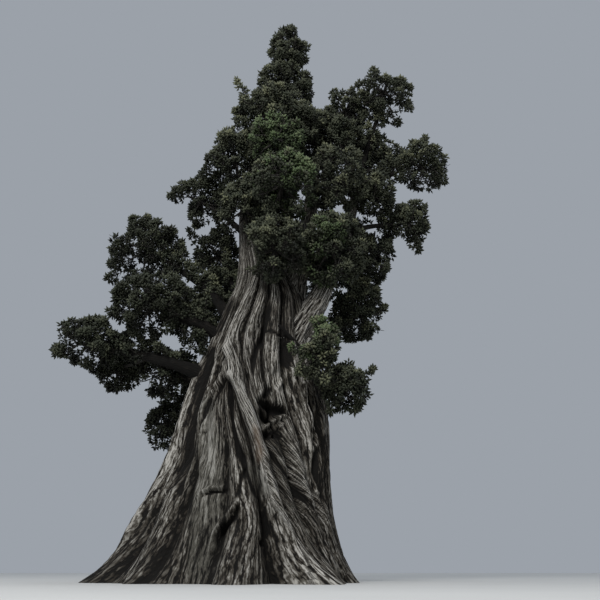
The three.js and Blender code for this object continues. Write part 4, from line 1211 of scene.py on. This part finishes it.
def fibrous_bark(colours):
    """Cypress bark, fibrous flakes in strips that weather to silver on their crests, dark in the cracks. Its
    tone also carries a painted highlight on the crests and painted shade in the furrows and creases.
    """
    material, tree, shader = blank("cypress_bark_fibrous", {"Roughness": 0.92, "Specular IOR Level": 0.25})
    grain = node(tree, "ShaderNodeUVMap", uv_map="grain")
    across = node(tree, "ShaderNodeSeparateXYZ", {0: grain}, "X")
    tone, bare, rust = (
        node(tree, "ShaderNodeAttribute", output="Fac", attribute_name=name)
        for name in ("tone", "bare", "rust")
    )

    def streaks(width, length, detail):
        place = node(tree, "ShaderNodeMapping", {"Vector": grain, "Scale": (1 / width, 1 / length, 1)})
        links = {"Vector": place, "Scale": 1.0, "Detail": detail, "Roughness": 0.65}
        return node(tree, "ShaderNodeTexNoise", links, "Fac")

    def strips(width, wander, crack):
        waves = streaks(2 * width, 10 * width, 4)
        aside = node(tree, "ShaderNodeMath", {0: waves, 1: wander}, operation="MULTIPLY")
        phase = node(tree, "ShaderNodeMath", {0: across, 1: 1 / width, 2: aside}, operation="MULTIPLY_ADD")
        edge = node(tree, "ShaderNodeMath", {0: phase, 1: 0.5}, operation="PINGPONG")
        return node(tree, "ShaderNodeMapRange", {"Value": edge, "From Max": crack})

    # Strips 40 mm wide with cracks between them, splinters 18 mm wide that cut less deep, and fibres 11 mm
    # wide, a little coarser than real ones so that they show.
    strip, splinter = strips(0.04, 3.4, 0.26), strips(0.018, 3.8, 0.35)
    patches, fibre = streaks(0.045, 0.4, 4), streaks(0.011, 0.13, 4)
    splinter_share = 0.6
    uncracked = 1 + splinter_share
    both = node(tree, "ShaderNodeMath", {0: splinter, 1: splinter_share, 2: strip}, operation="MULTIPLY_ADD")
    # Flakes bridge the cracks here and there, about every 200 mm.
    bridges = {"Value": streaks(0.022, 0.2, 3), "From Min": 0.36, "From Max": 0.64}
    bridges |= {"To Min": -0.45, "To Max": -1.25}
    bridged = node(tree, "ShaderNodeMapRange", bridges)
    gap = node(tree, "ShaderNodeMath", {0: uncracked, 1: both}, operation="SUBTRACT")
    both = node(tree, "ShaderNodeMath", {0: gap, 1: bridged, 2: uncracked}, operation="MULTIPLY_ADD")
    darkening = {"Value": both, "From Max": uncracked, "To Min": -1.0, "To Max": 0.32}
    cracked = node(tree, "ShaderNodeMapRange", darkening)
    # Bare wood has fewer cracks.
    smooth_wood = node(tree, "ShaderNodeMath", {0: bare, 1: 0.62}, operation="MULTIPLY")
    cracks = node(tree, "ShaderNodeMix", {"Factor": smooth_wood, 2: cracked, 3: 0.0})
    shade = node(tree, "ShaderNodeMath", {0: tone, 1: cracks}, operation="ADD")
    for pattern, strength in ((patches, 0.5), (fibre, 1.35)):
        shade = node(tree, "ShaderNodeMath", {0: pattern, 1: strength, 2: shade}, operation="MULTIPLY_ADD")
    # Both patterns add to the tone, so their mean comes off again.
    shade = node(tree, "ShaderNodeMath", {0: shade, 1: 0.96}, operation="SUBTRACT")
    barks = [(0.0, colours.furrow), (0.25, colours.bark_dark), (0.6, colours.bark), (1.0, colours.crest)]
    bark = node(tree, "ShaderNodeValToRGB", {"Fac": shade}, stops=barks)
    woods = [(0.0, colours.furrow), (0.4, colours.bare_dark), (0.9, colours.bare)]
    wood = node(tree, "ShaderNodeValToRGB", {"Fac": shade}, stops=woods)
    surface = node(tree, "ShaderNodeMix", {"Factor": bare, 6: bark, 7: wood}, 2, data_type="RGBA")
    patch = node(tree, "ShaderNodeMath", {0: rust, 1: 0.6}, operation="MULTIPLY")
    links = {"Factor": patch, 6: surface, 7: (*colours.rust, 1)}
    tree.links.new(node(tree, "ShaderNodeMix", links, 2, data_type="RGBA"), shader.inputs["Base Color"])
    flakes = node(tree, "ShaderNodeBump", {"Height": both, "Distance": 0.008, "Strength": 0.9})
    links = {"Height": fibre, "Distance": 0.005, "Strength": 0.8, "Normal": flakes}
    tree.links.new(node(tree, "ShaderNodeBump", links), shader.inputs["Normal"])
    return material


def mottled(material, tree, shader, scale, stops):
    """Colours a material by soft patches, so many to a metre."""
    place = node(tree, "ShaderNodeTexCoord", output="Object")
    patches = node(tree, "ShaderNodeTexNoise", {"Vector": place, "Scale": scale, "Detail": 2.0}, "Fac")
    colour = node(tree, "ShaderNodeValToRGB", {"Fac": patches}, stops=stops)
    tree.links.new(colour, shader.inputs["Base Color"])
    return material


def twig_bark(colours):
    """Thin brown bark of living twigs, slightly rough, with lighter flecks about 15 mm apart."""
    stops = [(0.35, colours.furrow), (0.7, colours.bark_dark)]
    return mottled(*blank("cypress_twig_bark", {"Roughness": 0.85}), 65.0, stops)


def scale_leaves(name, colour):
    """Scale leaves of a cypress shoot, waxy and slightly rough. Each spray has one plain green."""
    return blank(name, {"Base Color": (*colour, 1), "Roughness": 0.62, "Specular IOR Level": 0.3})[0]


def floor_finish(colour):
    """A painted studio floor, matt, with the faintest mottling."""
    stops = [(0.3, [c * 0.95 for c in colour]), (0.7, colour)]
    return mottled(*blank("studio_floor_paint", {"Roughness": 0.9}), 0.6, stops)


# Sizes and colours that a user would change

def colour_property(name, code, description):
    return FloatVectorProperty(name=name, description=description, default=hex_colour(code), size=3, min=0,
                               max=1, subtype="COLOR")


def count_property(name, default, least, most, description):
    return IntProperty(name=name, description=description, default=default, min=least, max=most)


def share_property(name, default, least, most, description, **kind):
    return FloatProperty(name=name, description=description, default=default, min=least, max=most, **kind)


def length_property(name, default, least, most, description):
    return share_property(name, default, least, most, description, unit="LENGTH")


class CypressBark(bpy.types.PropertyGroup):
    front_columns: count_property("Front columns", 25, 4, 40, "Columns of the mesh in each rope at the front")
    back_columns: count_property("Back columns", 13, 4, 40, "Columns of the mesh in each rope at the back")
    rings: count_property("Rings", 300, 40, 400, "Rings of the mesh from the ground to the top")
    rope_width: length_property("Rope width", 0.36, 0.05, 1, "Width of a rope of grain at breast height")
    strip_depth: length_property(
        "Strip depth", 0.016, 0, 0.05, "Depth of the fissures between strips of bark")
    # Boughs inside the foliage get darker bark: partly darker brown bark, partly painted shade under the
    # foliage.
    bough_shade: share_property("Bough shade", -0.25, -1, 1, "Tone of the bark on boughs inside the foliage")
    weathered_shade: share_property("Weathered shade", 0.7, 0, 1, "Tone of the bark on weathered boughs")
    weathered_above: length_property(
        "Weathered above", 0.15, 0.01, 1, "Radius from which a bough weathers like the trunk")
    # The bark's colours are laid by its tone from furrow to crest. Besides their own colours, they carry its
    # painted shade in the furrows and its painted highlight on the crests.
    furrow: colour_property("Furrow", "12100d", "Bark deep in the furrows")
    bark_dark: colour_property("Dark bark", "342f28", "Bark on the sides of the furrows")
    bark: colour_property("Bark", "635f57", "Bark of the strips")
    crest: colour_property("Crest", "b2aea6", "Weathered crests of the strips")
    bare_dark: colour_property("Bare wood, dark", "55524a", "Streaks of the bare wood")
    bare: colour_property("Bare wood", "a8a59d", "Bare, weathered wood")
    rust: colour_property("Rusty bark", "685646", "Inner bark where a strip has come off")


class CypressFoliage(bpy.types.PropertyGroup):
    forks: count_property("Forks", 3, 1, 6, "Plumes that each twig of a dense mass ends in")
    open_forks: count_property("Open forks", 2, 1, 6, "Plumes that each twig of an open mass ends in")
    fork_spread: share_property("Fork spread", 62, 5, 85, "How far plumes lean from their twig, in degrees")
    plume_rise: share_property("Plume rise", 0.22, 0, 1, "How far plumes bend upward beside their length")
    plume_shortest: share_property(
        "Shortest plume", 0.66, 0.1, 2, "Reach of the shortest plumes beside the mass")
    plume_longest: share_property(
        "Longest plume", 1.02, 0.1, 2, "Reach of the longest plumes beside the mass")
    plume_width: length_property(
        "Plume width", 0.17, 0.02, 0.5, "Length of the side stalks at a plume's foot")
    stem_width: length_property("Plume stem", 0.018, 0.002, 0.1, "Thickness of a plume's stem")
    side_lean: share_property("Side lean", 85, 5, 120, "How far the lowest side stalks lean out, in degrees")
    overreach: share_property(
        "Overreach", 1.12, 1, 1.3, "How far single tufts pass the outline of their mass")
    dents: share_property(
        "Dents", 0.26, 0, 1, "Depth of the dents in the outline of a mass, as a share of it")
    inner_length: share_property("Inner plumes", 0.55, 0, 1, "Reach of the plumes inside a mass")
    limb_spacing: length_property(
        "Limb spacing", 0.12, 0.05, 2, "Distance between plumes straight on a bough")
    bare_above: length_property(
        "Bare above", 0.15, 0.01, 1, "Radius at the foot from which a bough is left bare")
    tufts: count_property("Tufts", 22, 4, 60, "Tufts on each plume of a dense mass")
    open_tufts: count_property("Open tufts", 18, 4, 60, "Tufts on each plume of an open mass")
    tuft_length: length_property("Tuft length", 0.078, 0.02, 0.3, "Length of the shoots in a tuft")
    shoots: count_property("Shoots", 6, 2, 20, "Shoots in each tuft")
    shoot_spread: share_property(
        "Shoot spread", 84, 5, 120, "How far shoots lean from their tuft, in degrees")
    shoot_width: length_property("Shoot width", 0.032, 0.005, 0.1, "Width of a shoot with its scale leaves")
    left_shade: share_property("Left shade", 0.16, 0, 1, "How much darker the foliage is on the shaded left")
    # Each family's five greens are one green in steps, from painted shade deep in a plume to painted light on
    # the tips and on tufts that face up. They also carry some tone that differs at random.
    green_1: colour_property("Deep green", "191b12", "Shaded foliage deep in a plume")
    green_2: colour_property("Dark green", "272a1d", "Foliage at the foot of a plume")
    green_3: colour_property("Green", "34382a", "Foliage along a plume")
    green_4: colour_property("Light green", "484b3a", "Foliage toward the end of a plume")
    green_5: colour_property("Lightest green", "64664e", "The tips in the light")
    young_1: colour_property("Young deep green", "1d2415", "Shaded young foliage")
    young_2: colour_property("Young dark green", "2e3820", "Young foliage at the foot of a plume")
    young_3: colour_property("Young green", "3f4930", "Young foliage along a plume")
    young_4: colour_property("Young light green", "505e3e", "Young foliage toward the end of a plume")
    young_5: colour_property("Young lightest green", "667151", "Young tips in the light")

    def greens(self, family):
        return [getattr(self, f"{family}_{i}") for i in range(1, 6)]


class CypressStage(bpy.types.PropertyGroup):
    floor_size: length_property("Floor size", 60, 10, 200, "Side of the floor")
    floor: colour_property("Floor", "c9c8c4", "Painted floor")
    backdrop: colour_property("Backdrop", "9ba1a9", "The light dome near the horizon")
    top_light: share_property("Top light", 3.0, 0, 20, "Brightness of the dome overhead")
    key_power: share_property("Key light", 1800, 0, 20000, "Power of the large soft light", unit="POWER")
    lens: share_property("Lens", 42, 10, 200, "Focal length of the camera in millimetres")
    camera_height: length_property(
        "Camera height", VIEWPOINT[2], 0, 5, "Height of the lens above the floor")
    camera_distance: length_property(
        "Camera distance", -VIEWPOINT[1], 2, 50, "Distance from the lens to the trunk")
    camera_side: length_property(
        "Camera side", VIEWPOINT[0], -10, 10, "How far the lens stands to the right of the trunk")
    camera_tilt: share_property(
        "Camera tilt", math.radians(21.09), 0, 1.5, "Upward tilt of the camera", subtype="ANGLE")


# Operators, one for each group of pieces and one for the stage

# The dome grows brighter overhead between these rises. The large soft light has this width, stands at this
# place and aims at that one.
DOME_RISE = (0.76, 0.95)
KEY_SIZE, KEY_PLACE, KEY_AIM = 7, (-3, -13, 12), (0.3, 0, 3)


class CYPRESS_OT_trunk(bpy.types.Operator):
    """Makes the trunk's bark, ropes of grain with strands, creases and fissures, down to the flared roots"""
    bl_idname = "cypress.trunk"
    bl_label = "Trunk"

    def execute(self, context):
        settings = context.scene.cypress_bark
        ropes = trunk_columns(settings)
        piece = rolled("trunk_bark", len(ropes) - 1, settings.rings, trunk_place(settings, ropes))
        dress(piece, [fibrous_bark(settings)], "trunk_bark", "trunk")
        return {"FINISHED"}


class CYPRESS_OT_boughs(bpy.types.Operator):
    """Makes the boughs, tapering limbs with a collar and winding strips of bark, and the dead stub"""
    bl_idname = "cypress.boughs"
    bl_label = "Boughs"

    def execute(self, context):
        settings = context.scene.cypress_bark
        bark = bpy.data.materials["cypress_bark_fibrous"]
        for seed, (name, bough) in enumerate(BOUGHS.items(), start=BOUGH_SEED):
            *line, ends = bough
            rings = max(FEWEST_RINGS, round(spline(line, 2)[1] / BOUGH_RING))
            columns = max(FEWEST_COLUMNS, round(2 * math.pi * ends[0] * MM / BOUGH_COLUMN))
            weathered = ends[0] > settings.weathered_above / MM
            # Thin boughs and the stub take the darker tone, which is partly painted shade under the foliage.
            shade = settings.weathered_shade if weathered else settings.bough_shade
            piece = rolled(f"bough_{name}_bark", columns, rings, bough_place(seed, bough, rings, shade))
            dress(piece, [bark], "bough_bark", f"bough_{name}")
        place = bough_place(BOUGH_SEED - 1, STUB, STUB_RINGS, settings.bough_shade)
        dress(rolled("dead_stub", STUB_COLUMNS, STUB_RINGS, place), [bark], "bough_bark", "bough_right_bough")
        return {"FINISHED"}


class CYPRESS_OT_foliage(bpy.types.Operator):
    """Grows every mass of foliage: twigs from its stem, plumes from the twigs, and tufts of shoots"""
    bl_idname = "cypress.foliage"
    bl_label = "Foliage"

    def execute(self, context):
        settings = context.scene.cypress_foliage
        twig = twig_bark(context.scene.cypress_bark)
        leaves = {
            family: [scale_leaves(f"cypress_scale_leaves_{family}_{i}", colour)
                     for i, colour in enumerate(settings.greens(family), start=1)]
            for family in ("green", "young")
        }
        shoot, branch, stalk = (prototype(shape) for shape in (shoot_shape, twig_shape, stalk_shape))
        carried = set()
        for i, (name, mass) in enumerate(MASSES.items()):
            seed = FIRST_SEED + SEED_STEP * i
            # The first mass of a bough also has the plumes straight on it.
            bough = mass[2] if isinstance(mass[2], str) and mass[2] not in carried else None
            carried.add(bough)
            twigs, plumes, tufts = foliage_of(name, seed, bough, settings)
            wood = wood_of(branch, stalk, twigs, plumes, tufts, settings)
            shoots = [(shoot, *shoots_of(name, tufts, settings, seed))]
            young = name in YOUNG_MASSES
            greens = leaves["green"] + (leaves["young"] if young else [])
            slot = "young_foliage" if young else "foliage"
            dress(repeated(f"twigs_{name}", wood), [twig], "bough_bark", f"foliage_{name}")
            dress(repeated(f"tufts_{name}", shoots), greens, slot, f"foliage_{name}")
        return {"FINISHED"}


class CYPRESS_OT_stage(bpy.types.Operator):
    """Makes the pale floor, the soft light and the camera at the photograph's angle"""
    bl_idname = "cypress.stage"
    bl_label = "Stage"

    def execute(self, context):
        settings = context.scene.cypress_stage
        bm = bmesh.new()
        bmesh.ops.create_grid(bm, x_segments=1, y_segments=1, size=settings.floor_size / 2)
        mesh = bpy.data.meshes.new("floor")
        bm.to_mesh(mesh)
        bm.free()
        floor = bpy.data.objects.new("floor", mesh)
        mesh.materials.append(floor_finish(settings.floor))
        context.scene.collection.objects.link(floor)

        world = bpy.data.worlds.new("light_dome")
        world.use_nodes = True
        context.scene.world = world
        tree = world.node_tree
        direction = node(tree, "ShaderNodeTexCoord", output="Generated")
        links = {"Value": node(tree, "ShaderNodeSeparateXYZ", {0: direction}, "Z"), "To Min": 1.0}
        links |= {"From Min": DOME_RISE[0], "From Max": DOME_RISE[1], "To Max": settings.top_light}
        overhead = node(tree, "ShaderNodeMapRange", links, interpolation_type="SMOOTHSTEP")
        background = tree.nodes["Background"]
        background.inputs["Color"].default_value = (*settings.backdrop, 1)
        tree.links.new(overhead, background.inputs["Strength"])

        lamp = bpy.data.lights.new("key", "AREA")
        lamp.shape = "DISK"
        lamp.size = KEY_SIZE
        lamp.energy = settings.key_power
        key = bpy.data.objects.new("key", lamp)
        key.location = KEY_PLACE
        key.rotation_euler = (Vector(KEY_AIM) - key.location).to_track_quat("-Z", "Y").to_euler()
        key.visible_camera = False
        context.scene.collection.objects.link(key)

        camera = bpy.data.objects.new("camera", bpy.data.cameras.new("camera"))
        camera.data.lens = settings.lens
        camera.location = (settings.camera_side, -settings.camera_distance, settings.camera_height)
        camera.rotation_euler = (math.pi / 2 + settings.camera_tilt, 0, 0)
        context.scene.collection.objects.link(camera)
        context.scene.camera = camera
        context.scene.view_settings.view_transform = "Standard"
        return {"FINISHED"}


class CYPRESS_PT_panel(bpy.types.Panel):
    """Lists the steps that dress the cypress"""
    bl_idname = "CYPRESS_PT_panel"
    bl_label = "Old cypress"
    bl_space_type = "VIEW_3D"
    bl_region_type = "UI"
    bl_category = "Cypress"

    def draw(self, context):
        for operator in (CYPRESS_OT_trunk, CYPRESS_OT_boughs, CYPRESS_OT_foliage, CYPRESS_OT_stage):
            self.layout.operator(operator.bl_idname)


CLASSES = (CypressBark, CypressFoliage, CypressStage, CYPRESS_OT_trunk, CYPRESS_OT_boughs, CYPRESS_OT_foliage,
           CYPRESS_OT_stage, CYPRESS_PT_panel)


def register():
    for cls in CLASSES:
        bpy.utils.register_class(cls)
    bpy.types.Scene.cypress_bark = PointerProperty(type=CypressBark)
    bpy.types.Scene.cypress_foliage = PointerProperty(type=CypressFoliage)
    bpy.types.Scene.cypress_stage = PointerProperty(type=CypressStage)


def unregister():
    del bpy.types.Scene.cypress_bark, bpy.types.Scene.cypress_foliage, bpy.types.Scene.cypress_stage
    for cls in reversed(CLASSES):
        bpy.utils.unregister_class(cls)


def main():
    register()
    bpy.ops.cypress.trunk()
    bpy.ops.cypress.boughs()
    bpy.ops.cypress.foliage()
    bpy.ops.cypress.stage()


if __name__ == "__main__":
    main()
